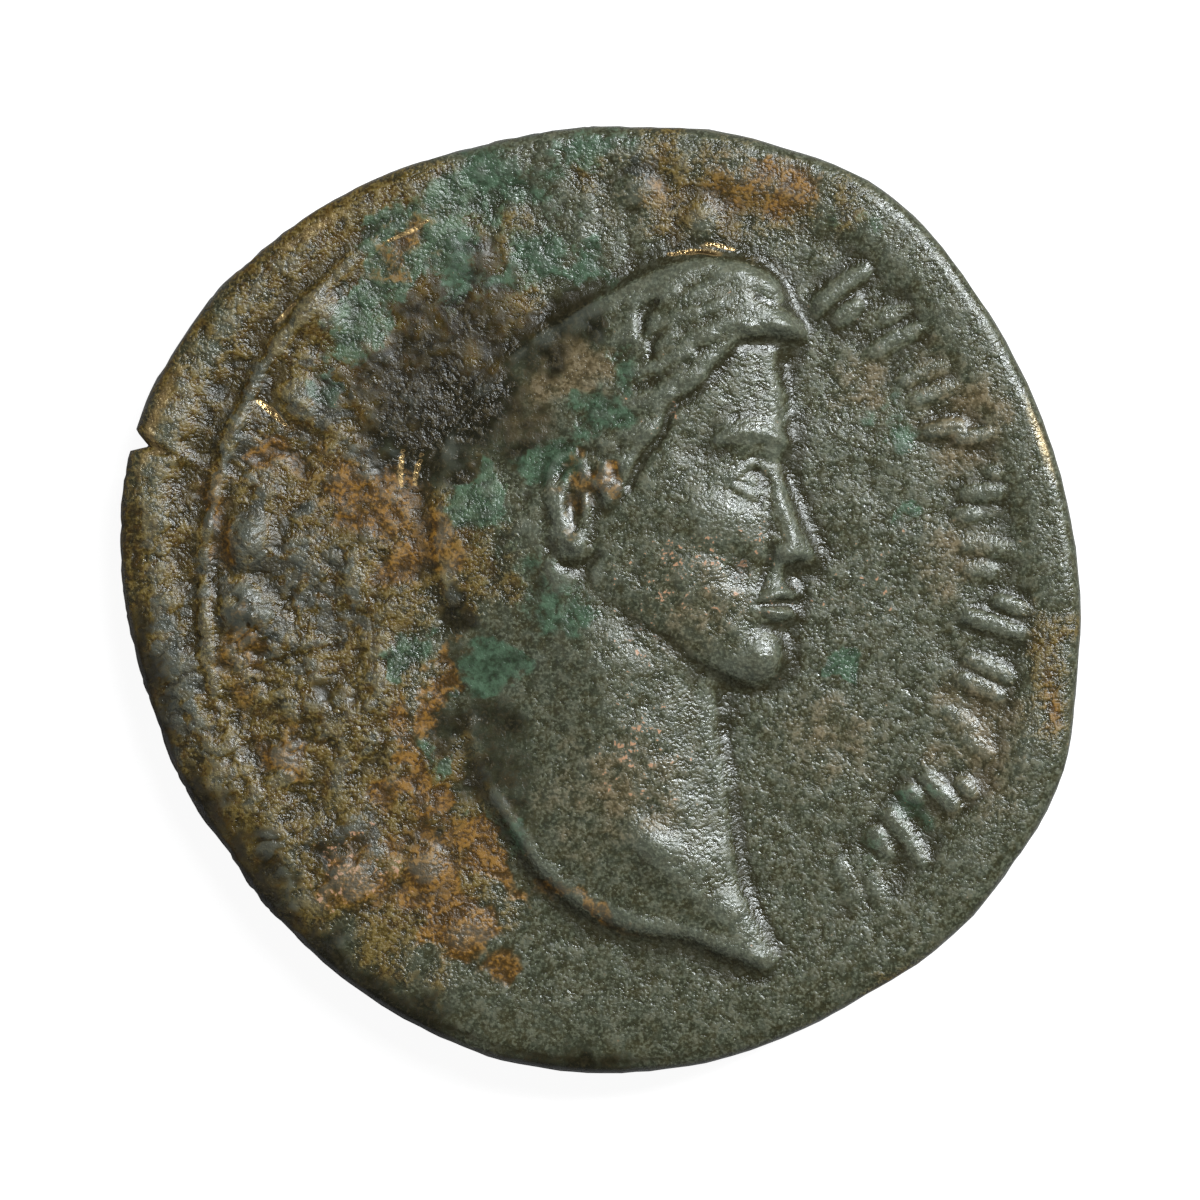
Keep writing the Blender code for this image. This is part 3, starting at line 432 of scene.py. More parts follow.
# Where in the maps and the grain each effect starts and is full
RANGES = {
    "hollow": (0.05, 0.9), "crest": (0.1, 0.9), "mottle": (0.34, 0.66), "warmth": (0.44, 0.60),
    "pale": (0.46, 0.62), "pits": (0.50, 0.36), "flecks_and_glints": (0.50, 0.64),
}

# The sheen: the coarse grain's range and the roughness at its two ends, and what a deposit of earth
# or ochre adds to it. Then the grain's height, from where soot, the painted shade along one edge and ochre
# smooth it to where earth is
SHEEN = (0.35, 0.65, 0.18, 0.33)
DEPOSIT_DULLNESS = 0.10
CRUST_HEIGHT = (0.5, 1.6)

# The grain of the crust in the material, how much coarser and higher its coarse part is, and the
# size of the clouds in its colour
GRAIN_SIZE = 0.00011
GRAIN_HEIGHT = 0.000031
COARSE_GRAIN = 3.2
COARSE_HEIGHT = 1.1
CLOUD_SIZE = 0.00045

# The lights, by bearing and elevation in degrees, distance, width, power and tint
COOL = (0.92, 0.98, 1.0)
WHITE = (1.0, 1.0, 1.0)
LIGHTS = {
    "key": (38.0, 50.0, 0.40, 0.10, 1.8, COOL),
    "sheen": (58.0, 64.0, 0.40, 0.08, 0.45, COOL),
    "strip": (28.0, 30.0, 0.40, 0.10, 0.5, COOL),
    "fill": (205.0, 45.0, 0.50, 0.30, 0.1, WHITE),
}

# The floor's half width, its colour, and its glow, which only the camera sees and which leaves no
# more than a thin shadow
FLOOR_REACH = 0.6
FLOOR_COLOUR = (0.28, 0.27, 0.27, 1.0)
FLOOR_GLOW = 0.93

# The surround: from what rise to what rise it darkens, and its strength at either
SURROUND_RISE = (0.25, 0.95)
HORIZON_LIGHT = 0.10
ZENITH_LIGHT = 0.04

# Scratches that show the metal, in millimetres: their paths, half widths and strengths. They thin
# out towards their ends to a share of that width
SCRATCH_ENDS = 0.3
SCRATCHES = [
    ([(-11.8, 6.9), (-11.2, 6.4), (-10.8, 6.0)], 0.20, 1.0),
    ([(-6.75, 5.2), (-6.85, 4.4), (-6.8, 3.8)], 0.15, 0.85),
    ([(-6.1, 5.0), (-6.3, 4.4), (-6.35, 3.9)], 0.15, 0.85),
    ([(2.3, 11.85), (3.4, 11.95), (4.4, 11.8)], 0.15, 0.9),
    ([(3.4, 12.2), (4.1, 12.15), (4.7, 11.95)], 0.15, 0.8),
    ([(-7.3, 12.3), (-6.4, 12.7), (-5.8, 13.1)], 0.14, 0.8),
    ([(-11.2, 9.4), (-10.7, 9.9), (-10.4, 10.3)], 0.14, 0.7),
]

# Where the rim is rubbed down to the metal: bearing, distance in from the outline, spread in degrees
# and strength
RUBBED_RIM = [(20.0, 0.0004, 14.0, 0.42), (158.0, 0.0006, 20.0, 0.38), (128.0, 0.0006, 14.0, 0.34)]

# The photograph's frame: its width in pixels, the width of one at the coin, and the camera's lens and
# sensor in millimetres
PICTURE_WIDTH = 1200
PIXEL = 0.000034591
LENS = 150.0
SENSOR = 36.0


def smooth_step(share):
    """0 below 0, 1 above 1, and a smooth rise between."""
    t = np.clip(share, 0.0, 1.0)
    return t * t * (3.0 - 2.0 * t)


def between(p0, p1, p2, p3, t):
    """The point a share t of the way from p1 to p2 on a smooth curve through all four."""
    return 0.5 * (
        2 * p1
        + (p2 - p0) * t
        + (2 * p0 - 5 * p1 + 4 * p2 - p3) * t * t
        + (3 * p1 - p0 - 3 * p2 + p3) * t**3
    )


def closed_curve(points, steps=8):
    """Points along a smooth closed curve through the given ones."""
    p = np.array(points, float)
    t = (np.arange(steps) / steps)[None, :, None]
    before, here, after, beyond = (np.roll(p, -k, axis=0)[:, None, :] for k in (-1, 0, 1, 2))
    return between(before, here, after, beyond, t).reshape(-1, 2)


def open_curve(points, steps=6):
    """Points along a smooth curve from the first of the given ones to the last."""
    p = np.array([points[0], *points, points[-1]], float)
    t = (np.arange(steps) / steps)[None, :, None]
    spans = between(p[:-3, None, :], p[1:-2, None, :], p[2:-1, None, :], p[3:, None, :], t)
    return np.vstack([spans.reshape(-1, 2), p[-1]])


def inside_depth(u, v, outline):
    """How far each place lies inside a closed outline, negative outside it."""
    nearest = np.full(u.shape, np.inf)
    inside = np.zeros(u.shape, bool)
    for (ax, ay), (bx, by) in zip(outline, np.roll(outline, -1, axis=0)):
        dx, dy = bx - ax, by - ay
        t = np.clip(((u - ax) * dx + (v - ay) * dy) / (dx * dx + dy * dy), 0.0, 1.0)
        nearest = np.minimum(nearest, (u - ax - t * dx) ** 2 + (v - ay - t * dy) ** 2)
        if dy:
            inside ^= ((ay > v) != (by > v)) & (u < ax + (v - ay) * dx / dy)
    return np.where(inside, 1.0, -1.0) * np.sqrt(nearest)


def mound(u, v, centre, radii, turn):
    """A rounded swelling, 1 at its middle and 0 at its edge."""
    c, s = math.cos(math.radians(turn)), math.sin(math.radians(turn))
    du, dv = u - centre[0], v - centre[1]
    r = ((du * c + dv * s) / radii[0]) ** 2 + ((dv * c - du * s) / radii[1]) ** 2
    return np.clip(1.0 - r, 0.0, 1.0) ** 2


def ridge(u, v, path, half_width, ends):
    """A rounded ridge, 1 along its path and thinner towards the path's ends."""
    nearest = np.full(u.shape, np.inf)
    along = np.zeros(u.shape)
    lengths = np.hypot(*np.diff(path, axis=0).T)
    start = 0.0
    for (ax, ay), (bx, by), length in zip(path[:-1], path[1:], lengths):
        dx, dy = bx - ax, by - ay
        t = np.clip(((u - ax) * dx + (v - ay) * dy) / length**2, 0.0, 1.0)
        gap = (u - ax - t * dx) ** 2 + (v - ay - t * dy) ** 2
        nearer = gap < nearest
        nearest = np.where(nearer, gap, nearest)
        along = np.where(nearer, (start + t * length) / lengths.sum(), along)
        start += length
    taper = 1.0 - (1.0 - ends) * (2.0 * along - 1.0) ** 2
    return np.clip(1.0 - nearest / (half_width * taper) ** 2, 0.0, 1.0) ** 2


def add_near(total, u, v, path, half_width, ends):
    """Raises a small ridge on a height map, working only on the places that it can reach."""
    middle = path.mean(axis=0)
    reach = np.hypot(*(path - middle).T).max() + half_width
    near = (u - middle[0]) ** 2 + (v - middle[1]) ** 2 < reach**2
    if near.any():
        total[near] = np.maximum(total[near], ridge(u[near], v[near], path, half_width, ends))


def kept(u, v, wear):
    """The share of a form that wear leaves at each place."""
    share = np.ones(u.shape)
    for middle, radii, turn, taken in wear:
        share *= 1.0 - taken * mound(u, v, middle, radii, turn)
    return share


def forms(u, v, mounds, ridges):
    """The sum of named mounds and ridges."""
    total = np.zeros(u.shape)
    for centre, radii, turn, height in mounds.values():
        total += height * mound(u, v, centre, radii, turn)
    for points, half_width, ends, height in ridges.values():
        total += height * ridge(u, v, open_curve(points), half_width, ends)
    return total


def swell(depth, step, slope, rise, reach):
    """A form's height by the depth inside its outline: a sloping edge, then a slow dome."""
    edge = step * smooth_step(depth / slope + 0.5)
    return edge + rise * (1.0 - np.exp(-np.clip(depth, 0.0, None) / reach))


def flan_radius(bearing):
    """The flan's outline, through its points, with the crack's notch."""
    turns = np.array([b for b, _ in FLAN_OUTLINE] + [360.0])
    shares = np.array([s for _, s in FLAN_OUTLINE])
    span = np.searchsorted(turns, np.mod(bearing, 360.0), side="right") - 1
    t = (np.mod(bearing, 360.0) - turns[span]) / (turns[span + 1] - turns[span])
    ring = [shares[(span + k) % len(shares)] for k in (-1, 0, 1, 2)]
    across = np.radians(np.abs(bearing - CRACK_BEARING)) * FLAN_RADIUS
    notch = CRACK_DEPTH * np.clip(1.0 - across / (CRACK_WIDTH / 2), 0.0, 1.0)
    return FLAN_RADIUS * between(*ring, t) - notch


def towards(bearing, middle):
    """1 on one bearing, falling to 0 on the bearing opposite."""
    return 0.5 + 0.5 * np.cos(np.radians(bearing - middle))


def lock_rings(u, v, shift):
    """Locks in every second ring round the crown, thickest at their tips, from 0 to 1."""
    (across_v, across_u), (along_u, along_v) = LOCK_WAVE_TURNS
    du = u - CROWN[0] + LOCK_WAVE * np.sin(across_v * v + across_u * u)
    dv = v - CROWN[1] + LOCK_WAVE * np.sin(along_u * u + along_v * v)
    reach = np.hypot(du, dv) / LOCK_LENGTH + shift
    ring = np.floor(reach)
    t = reach - ring
    count = np.maximum(FEWEST_LOCKS, np.round(2 * np.pi * (ring + 0.5) * LOCK_LENGTH / LOCK_WIDTH))
    turn = np.arctan2(dv, du) / (2 * np.pi) * count + LOCK_TURN * ring + LOCK_BEND * t * t
    across = 2.0 * (turn - np.floor(turn)) - 1.0
    width = np.sqrt(np.clip(1.0 - t**3, 0.02, 1.0))
    lengthwise = (LOCK_ROOT + (1.0 - LOCK_ROOT) * t) * smooth_step((1.0 - t) / LOCK_TIP)
    return np.clip(1.0 - (across / width) ** 2, 0.0, 1.0) * lengthwise


def hair(u, v):
    """The hair's height over the head: its thickness, with overlapping curved locks."""
    depth = inside_depth(u, v, closed_curve(HAIR_OUTLINE))
    locks = np.maximum(lock_rings(u, v, 0.0), lock_rings(u, v, 0.5))
    relief = LOCK_RELIEF * (locks - 0.5) * kept(u, v, LOCK_WEAR) + forms(u, v, HAIR_MOUNDS, HAIR_RIDGES)
    cap = smooth_step(depth / HAIR_EDGE + 0.5) * (HAIR_THICKNESS + relief)
    return cap + forms(u, v, {}, HAIRLINE_GROOVES)


def bust(x, y):
    """The bust's height over the field, as a share of its relief."""
    u = (x - EAR_FRONT) / HEAD_HEIGHT
    v = (y - CHIN_LEVEL) / HEAD_HEIGHT
    neck = swell(inside_depth(u, v, closed_curve(NECK_OUTLINE)), *NECK_SWELL)
    neck += forms(u, v, NECK_MOUNDS, NECK_RIDGES) * smooth_step(neck / NECK_SWELL[0])
    head = swell(inside_depth(u, v, closed_curve(HEAD_OUTLINE, steps=5)), *HEAD_SWELL)
    on_head = smooth_step(head / HEAD_SWELL[0])
    on_ear = smooth_step(inside_depth(u, v, closed_curve(EAR_OUTLINE)) / EAR_EDGE + 0.5)
    skin = forms(u, v, FACE_MOUNDS, FACE_RIDGES)
    ear = EAR_RISE + forms(u, v, EAR_MOUNDS, EAR_RIDGES)
    head += on_head * (np.where(on_ear > 0, ear, 0) * on_ear + (skin + hair(u, v)) * (1.0 - on_ear))
    worn = np.maximum(neck * kept(u, v, NECK_WEAR), head * kept(u, v, HEAD_WEAR))
    return np.clip(worn, 0.0, None)


def legend(x, y):
    """Short strokes in rows where the inscription stood, as a share of their relief."""
    total = np.zeros(x.shape)
    group = 0
    for first, last, left_by_wear, spread in LEGEND_ARCS:
        for angle in np.arange(first, last, -LEGEND_PITCH):
            strokes = np.zeros(x.shape)
            out = np.array([math.cos(math.radians(angle)), math.sin(math.radians(angle))])
            along = np.array([out[1], -out[0]])
            middle = np.array(LEGEND_CENTRE) + LEGEND_RADIUS * out
            for stroke in STROKE_GROUPS[group % len(STROKE_GROUPS)]:
                path = [middle + LEGEND_HEIGHT * (a * along + b * out) for a, b in stroke]
                curve = open_curve(path, steps=3)
                add_near(strokes, x, y, curve, STROKE_WIDTH * spread, STROKE_ENDS)
            height = left_by_wear * (1.0 - UNEVEN_WEAR + UNEVEN_WEAR * math.cos(group))
            total = np.maximum(total, height * smooth_step(strokes * STROKE_FLATNESS))
            group += GROUP_STEP
    return total


def border(x, y):
    """The worn ring of beads, as a share of its relief."""
    dx, dy = x - DIE_CENTRE[0], y - DIE_CENTRE[1]
    ring = np.clip(1.0 - ((np.hypot(dx, dy) - BORDER_RADIUS) / BORDER_WIDTH) ** 2, 0.0, 1.0)
    beads = 1.0 - BEAD_SHARE + BEAD_SHARE * np.cos(BORDER_BEADS * np.arctan2(dy, dx))
    seen = towards(np.degrees(np.arctan2(y, x)), BORDER_BEARING) ** BORDER_FADE
    return ring * ring * beads * seen


def rim_profile(bearing):
    """The obverse rim's width and height on a bearing."""
    turns, widths, heights = zip(*RIM_PROFILE)
    width = np.interp(bearing, turns, widths, period=360.0)
    return width, np.interp(bearing, turns, heights, period=360.0)


def obverse(x, y, inset, bearing):
    """The obverse's height over its field. inset is the distance in from the flan's outline."""
    width, height = rim_profile(bearing)
    rim = height * smooth_step((width + RIM_SLOPE - inset) / RIM_SLOPE)
    drop = SHOULDER_DROP * towards(bearing, SHOULDER_BEARING) ** SHOULDER_FADE
    shoulder = drop * np.clip(1.0 - inset / SHOULDER_WIDTH, 0.0, 1.0) ** 2
    crack_across = np.radians(np.abs(bearing - CRACK_BEARING)) * FLAN_RADIUS
    crack = CRACK_GROOVE * np.clip(1.0 - crack_across / (CRACK_WIDTH / 2), 0.0, 1.0)
    crack *= np.clip(1.0 - inset / CRACK_LENGTH, 0.0, 1.0)
    struck = np.maximum(BUST_RELIEF * bust(x, y), LEGEND_RELIEF * legend(x, y))
    struck = np.maximum(struck, BORDER_HEIGHT * border(x, y))
    for centre, radius, lump in LUMPS:
        struck += lump * mound(x, y, centre, (radius, radius), 0)
    return np.maximum(struck, rim) - shoulder - crack


def wreath(x, y):
    """Two laurel branches that rise from a tie at the bottom, as a share of their relief."""
    total = np.zeros(x.shape)
    for side in (-1, 1):
        sweep = 180.0 - 1.5 * WREATH_GAP
        turns = np.radians(270.0 + side * np.linspace(0.0, sweep, num=40))
        stem = WREATH_RADIUS * np.column_stack([np.cos(turns), np.sin(turns)])
        add_near(total, x, y, stem, WREATH_STEM_WIDTH, STEM_ENDS)
        for k in range(LEAF_GROUPS):
            turn = 270.0 + side * (WREATH_GAP + (sweep - WREATH_GAP) * k / (LEAF_GROUPS - 1))
            root = WREATH_RADIUS * np.array([math.cos(math.radians(turn)), math.sin(math.radians(turn))])
            for splay in (-LEAF_SPLAY, 0.0, LEAF_SPLAY):
                aim = math.radians(turn + side * 90.0 + splay)
                tip = root + LEAF_LENGTH * np.array([math.cos(aim), math.sin(aim)])
                add_near(total, x, y, np.linspace(root, tip, num=5), LEAF_WIDTH, LEAF_ENDS)
            berry = root * (1.0 + side * (2 * (k % 2) - 1) * BERRY_OFFSET / WREATH_RADIUS)
            total = np.maximum(total, mound(x, y, berry, (BERRY_RADIUS, BERRY_RADIUS), 0))
    tie = mound(x, y, (0.0, -WREATH_RADIUS), (TIE_WIDTH / 2, TIE_WIDTH / 3), 0)
    return smooth_step(np.maximum(total, tie) * LEAF_FLATNESS)


def reverse(x, y, inset):
    """The reverse's depth under its field: its rim, which the coin lies on, and its wreath."""
    rim = smooth_step((REVERSE_RIM_WIDTH + RIM_SLOPE - inset) / RIM_SLOPE)
    return REVERSE_RELIEF * np.maximum(rim, WREATH_SHARE * wreath(x, y))


def disc_place(a, b):
    """A place on the square from -1 to 1 moved to the unit disc, as its radius and bearing."""
    wide = np.abs(a) > np.abs(b)
    radius = np.where(wide, np.abs(a), np.abs(b))
    share = np.where(wide, b / np.where(wide, a, 1.0), a / np.where(wide | (b == 0), 1.0, b))
    quarter = np.where(wide, np.where(a < 0, 180.0, 0.0), np.where(b < 0, 270.0, 90.0))
    return radius, np.mod(quarter + np.where(wide, 45.0, -45.0) * share, 360.0)


def blank_mesh(cells, edge_rings):
    """A closed sheet of two square grids, at heights 0 and -1, joined by a band of rings."""
    bm = bmesh.new()
    bmesh.ops.create_grid(bm, x_segments=cells, y_segments=cells, size=1.0)
    under = bmesh.ops.duplicate(bm, geom=bm.verts[:] + bm.edges[:] + bm.faces[:])["geom"]
    under_faces = [item for item in under if isinstance(item, bmesh.types.BMFace)]
    under_verts = [item for item in under if isinstance(item, bmesh.types.BMVert)]
    bmesh.ops.reverse_faces(bm, faces=under_faces)
    bmesh.ops.translate(bm, verts=under_verts, vec=(0.0, 0.0, -1.0))
    bmesh.ops.bridge_loops(bm, edges=[edge for edge in bm.edges if edge.is_boundary])
    walls = [edge for edge in bm.edges if abs(edge.verts[0].co.z - edge.verts[1].co.z) > 0.5]
    bmesh.ops.subdivide_edges(bm, edges=walls, cuts=edge_rings - 1)
    bmesh.ops.recalc_face_normals(bm, faces=bm.faces)
    return bm


def struck_places(places):
    """Where the blank's points go on the coin. Their heights run from 0 on top to -1 underneath."""
    a, b, down = places.T
    share, bearing = disc_place(a, b)
    outer = flan_radius(bearing)
    angle = np.radians(bearing)
    lean = np.pi * np.clip(-down, 0.0, 1.0)
    inset = outer - share * (outer - EDGE_ROUND)
    radius = outer - inset + EDGE_ROUND * np.sin(lean)
    x, y = radius * np.cos(angle), radius * np.sin(angle)
    centre = outline_centre()
    above = REVERSE_RELIEF + FIELD_THICKNESS + obverse(x, y, inset, bearing)
    below = REVERSE_RELIEF - reverse(x, y, inset)
    upper = above - EDGE_ROUND * (1.0 - np.cos(lean))
    lower = below + EDGE_ROUND * (1.0 + np.cos(lean))
    z = np.where(lean < np.pi / 2, upper, lower)
    return np.column_stack([x - centre[0], y - centre[1], z])


def outline_centre():
    """The middle of the outline's bounding box."""
    bearing = np.linspace(0.0, 360.0, 7200, endpoint=False)
    radius = flan_radius(bearing)
    x, y = radius * np.cos(np.radians(bearing)), radius * np.sin(np.radians(bearing))
    return (x.min() + x.max()) / 2, (y.min() + y.max()) / 2


def fractal(place, size):
    """Smooth noise of a given bump size, from about -1 to 1."""
    return noise.fractal(Vector(place) / size, *BUMP_LAYERS, noise_basis="PERLIN_ORIGINAL")


def corroded(places, normals):
    """The coin's points moved along their normals by uneven corrosion, with crevices on the bad side."""
    x, y = places[:, 0], places[:, 1]
    bad = sum(strength * mound(x, y, centre, radii, turn) for centre, radii, turn, strength in ROUGH_SIDE)
    moved = np.zeros(len(places))
    for size, height in CORROSION:
        moved += height * np.array([fractal(place, size) for place in places])
    veins = np.abs([fractal(place, CREVICE_SIZE) for place in places + CREVICE_SIZE])
    crevices = CREVICE_DEPTH * np.clip(1.0 - veins / CREVICE_WIDTH, 0.0, 1.0) ** 2
    return places + normals * (moved * (GOOD_SIDE + bad) - crevices * bad)[:, None]


def blurred(grid, reach):
    """The mean of a grid of values over squares of a given reach in cells."""
    size = 2 * reach + 1
    for axis in (0, 1):
        padded = np.pad(grid, [(reach + 1, reach) if k == axis else (0, 0) for k in (0, 1)], mode="edge")
        total = np.cumsum(padded, axis=axis)
        count = total.shape[axis]
        grid = (np.take(total, range(size, count), axis) - np.take(total, range(count - size), axis)) / size
    return grid


def cavity_share(z, cells):
    """How far each obverse point lies under its surroundings, from -1 on a crest to 1 in a hollow."""
    grid = z.reshape(cells + 1, cells + 1)
    reach = max(1, round(CAVITY_REACH * cells / (2 * FLAN_RADIUS)))
    near = (blurred(blurred(grid, reach), reach) - grid) / CAVITY_DEPTH
    wider = WIDER_REACH * reach
    far = (blurred(blurred(grid, wider), wider) - grid) / (WIDER_DEPTH * CAVITY_DEPTH)
    return np.clip((1.0 - WIDER_SHARE) * near + WIDER_SHARE * far, -1.0, 1.0).ravel()


def ragged_noise(places, size, shift):
    """Noise that breaks up a stain's edge, centred on 0. A shift gives each stain its own."""
    offset = Vector((shift, 2.0 * shift, 0.0))
    return np.array([noise.fractal(Vector(place) / size + offset, *CLUMP_LAYERS) for place in places])


def stain(name, places, shift):
    """A stain's strength at each place: its patches, bent and broken up by noise."""
    bend_size, reach = STAIN_WANDER
    across, up = (reach * ragged_noise(places, bend_size, shift) for shift in WANDER_SHIFTS)
    x, y = places[:, 0] + across, places[:, 1] + up
    total = np.zeros(x.shape)
    for centre, radii, turn, strength in STAINS[name]:
        middle = (centre[0] * MM, centre[1] * MM)
        patch = np.sqrt(mound(x, y, middle, (radii[0] * MM, radii[1] * MM), turn))
        total = np.maximum(total, strength * patch)
    clump, ragged = STAIN_EDGES[name]
    return total + ragged * ragged_noise(places, clump, shift) * smooth_step(total / EDGE_STRENGTH)


def bared(x, y):
    """Where scratches and rubbing show the metal."""
    total = np.zeros(x.shape)
    for path, half_width, strength in SCRATCHES:
        scratch = ridge(x, y, open_curve(path) * MM, half_width * MM, SCRATCH_ENDS)
        total = np.maximum(total, strength * scratch)
    bearing = np.mod(np.degrees(np.arctan2(y, x)), 360.0)
    inset = flan_radius(bearing) - np.hypot(x, y)
    for middle, depth, spread, strength in RUBBED_RIM:
        along = np.mod(bearing - middle + 180.0, 360.0) - 180.0
        total = np.maximum(total, strength * mound(along, inset, (0.0, depth), (spread, depth), 0))
    return total


def set_values(mesh, name, values):
    """A named value at each of the mesh's points, for the material to read."""
    mesh.attributes.new(name, "FLOAT", "POINT").data.foreach_set("value", values.astype(np.float32))


def fitted(places):
    """The points drawn in, where needed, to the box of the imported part."""
    low, high = np.array(CAD_BOX[0]), np.array(CAD_BOX[1])
    middle = (low + high) / 2
    half = (high - low) / 2
    reach = np.abs(places - middle).max(axis=0)
    places = middle + (places - middle) * np.minimum(1.0, half / reach)
    return np.clip(places, low, high)


def struck_coin():
    """The coin at full fineness, with its wear, its corrosion and the maps of its stains."""
    bm = blank_mesh(CELLS, EDGE_RINGS)
    blank = np.array([vert.co for vert in bm.verts])
    for vert, place in zip(bm.verts, struck_places(blank)):
        vert.co = place
    for _ in range(WEAR_PASSES):
        bmesh.ops.smooth_vert(bm, verts=bm.verts, factor=0.5, use_axis_z=True)
    bm.normal_update()
    places = np.array([vert.co for vert in bm.verts])
    normals = np.array([vert.normal for vert in bm.verts])
    places = fitted(corroded(places, normals))
    for vert, place in zip(bm.verts, places):
        vert.co = place
    for face in bm.faces:
        face.smooth = True
    mesh = bpy.data.meshes.new("struck_coin")
    bm.to_mesh(mesh)
    triangles = 2 * len(bm.faces)
    bm.free()

    obverse_points = (CELLS + 1) ** 2
    cavity = np.zeros(len(places))
    cavity[:obverse_points] = cavity_share(places[:obverse_points, 2], CELLS)
    set_values(mesh, "cavity", cavity)
    for count, name in enumerate(STAINS):
        set_values(mesh, name, stain(name, places, STAIN_SHIFT * count))
    on_top = places[:, 2] > REVERSE_RELIEF + FIELD_THICKNESS / 2
    set_values(mesh, "bared", bared(places[:, 0], places[:, 1]) * on_top)

    coin = bpy.data.objects.new("struck_coin", mesh)
    bpy.context.scene.collection.objects.link(coin)
    plain = coin.vertex_groups.new(name="plain")
    plain.add(list(range(obverse_points, len(places))), 1.0, "REPLACE")
    obverse_triangles = 2 * CELLS * CELLS
    simplify = coin.modifiers.new("Simplify", "DECIMATE")
    simplify.ratio = (obverse_triangles + PLAIN_TRIANGLES) / triangles
    simplify.vertex_group = plain.name
    return coin


def tone(name):
    """A tone of the crust as a shader colour, from its screen values."""
    shares = [value / 255 for value in TONES[name]]
    linear = [s / 12.92 if s <= 0.04045 else ((s + 0.055) / 1.055) ** 2.4 for s in shares]
    return (*linear, 1.0)


def add_node(tree, kind, inputs, **settings):
    """A shader node, with its settings, and its inputs given as values or as other nodes' outputs."""
    node = tree.nodes.new(kind)
    for name, value in settings.items():
        setattr(node, name, value)
    for name, value in inputs.items():
        if isinstance(value, bpy.types.NodeSocket):
            tree.links.new(value, node.inputs[name])
        else:
            node.inputs[name].default_value = value
    return node


def mixed(tree, amount, first, second):
    """The first colour, turned to the second by an amount."""
    node = tree.nodes.new("ShaderNodeMix")
    node.data_type = "RGBA"
    for socket, value in zip((node.inputs[0], node.inputs[6], node.inputs[7]), (amount, first, second)):
        if isinstance(value, bpy.types.NodeSocket):
            tree.links.new(value, socket)
        else:
            socket.default_value = value
    return node.outputs[2]


def sum_of(tree, first, second, operation="ADD"):
    """Two values added, or put together by another operation."""
    node = add_node(tree, "ShaderNodeMath", {0: first, 1: second}, operation=operation)
    return node.outputs[0]


def ramped(tree, value, low, high, to_low=0.0, to_high=1.0):
    """A value turned smoothly from one range to another."""
    inputs = {"Value": value, "From Min": low, "From Max": high, "To Min": to_low, "To Max": to_high}
    return add_node(tree, "ShaderNodeMapRange", inputs, interpolation_type="SMOOTHSTEP").outputs[0]


def new_group(name, inputs, outputs):
    """An empty shader node group with its sockets, and the nodes that give and take them."""
    group = bpy.data.node_groups.new(name, "ShaderNodeTree")
    for socket, value in inputs.items():
        made = group.interface.new_socket(socket, in_out="INPUT", socket_type="NodeSocketFloat")
        made.default_value = value
    for socket in outputs:
        group.interface.new_socket(socket, in_out="OUTPUT", socket_type="NodeSocketFloat")
    return group, group.nodes.new("NodeGroupInput"), group.nodes.new("NodeGroupOutput")


def deposit_group():
    """A stain's mask from its map, sharpened and speckled by the crust's grain."""
    group, given, result = new_group(
        "deposit", {"Amount": 0.0, "Grain": 0.5, "Level": 0.4, "Softness": 0.2, "Speckle": 0.4}, ["Mask"]
    )
    centred = sum_of(group, given.outputs["Grain"], 0.5, "SUBTRACT")
    speckle = sum_of(group, centred, given.outputs["Speckle"], "MULTIPLY")
    amount = sum_of(group, given.outputs["Amount"], speckle)
    start = sum_of(group, given.outputs["Level"], given.outputs["Softness"], "SUBTRACT")
    stop = sum_of(group, given.outputs["Level"], given.outputs["Softness"])
    group.links.new(ramped(group, amount, start, stop), result.inputs["Mask"])
    return group


def grain_group():
    """The crust's grain: fine pits over coarser unevenness, and broad clouds for its colour."""
    usual = {"Size": 0.0001, "Coarseness": 3.0, "Rise": 1.0, "Clouds": 0.001}
    group, given, result = new_group("grain", usual, ["Height", "Fine", "Coarse", "Cloud", "Drift"])
    place = group.nodes.new("ShaderNodeTexCoord").outputs["Object"]
    scale = sum_of(group, 1.0, given.outputs["Size"], "DIVIDE")
    coarse_scale = sum_of(group, scale, given.outputs["Coarseness"], "DIVIDE")
    cloud_scale = sum_of(group, 1.0, given.outputs["Clouds"], "DIVIDE")

    def speckles(size, **settings):
        return add_node(group, "ShaderNodeTexNoise", {"Vector": place, "Scale": size, **settings})

    fine = speckles(scale, Detail=2.0)
    coarse = speckles(coarse_scale, Detail=1.0, Distortion=0.6)
    cloud = speckles(cloud_scale, Detail=4.0, Roughness=0.6)
    drift = add_node(group, "ShaderNodeSeparateColor", {0: cloud.outputs["Color"]})
    raised = sum_of(group, coarse.outputs["Fac"], given.outputs["Rise"], "MULTIPLY")
    group.links.new(sum_of(group, fine.outputs["Fac"], raised), result.inputs["Height"])
    group.links.new(fine.outputs["Fac"], result.inputs["Fine"])
    group.links.new(coarse.outputs["Fac"], result.inputs["Coarse"])
    group.links.new(cloud.outputs["Fac"], result.inputs["Cloud"])
    group.links.new(drift.outputs["Blue"], result.inputs["Drift"])
    return group


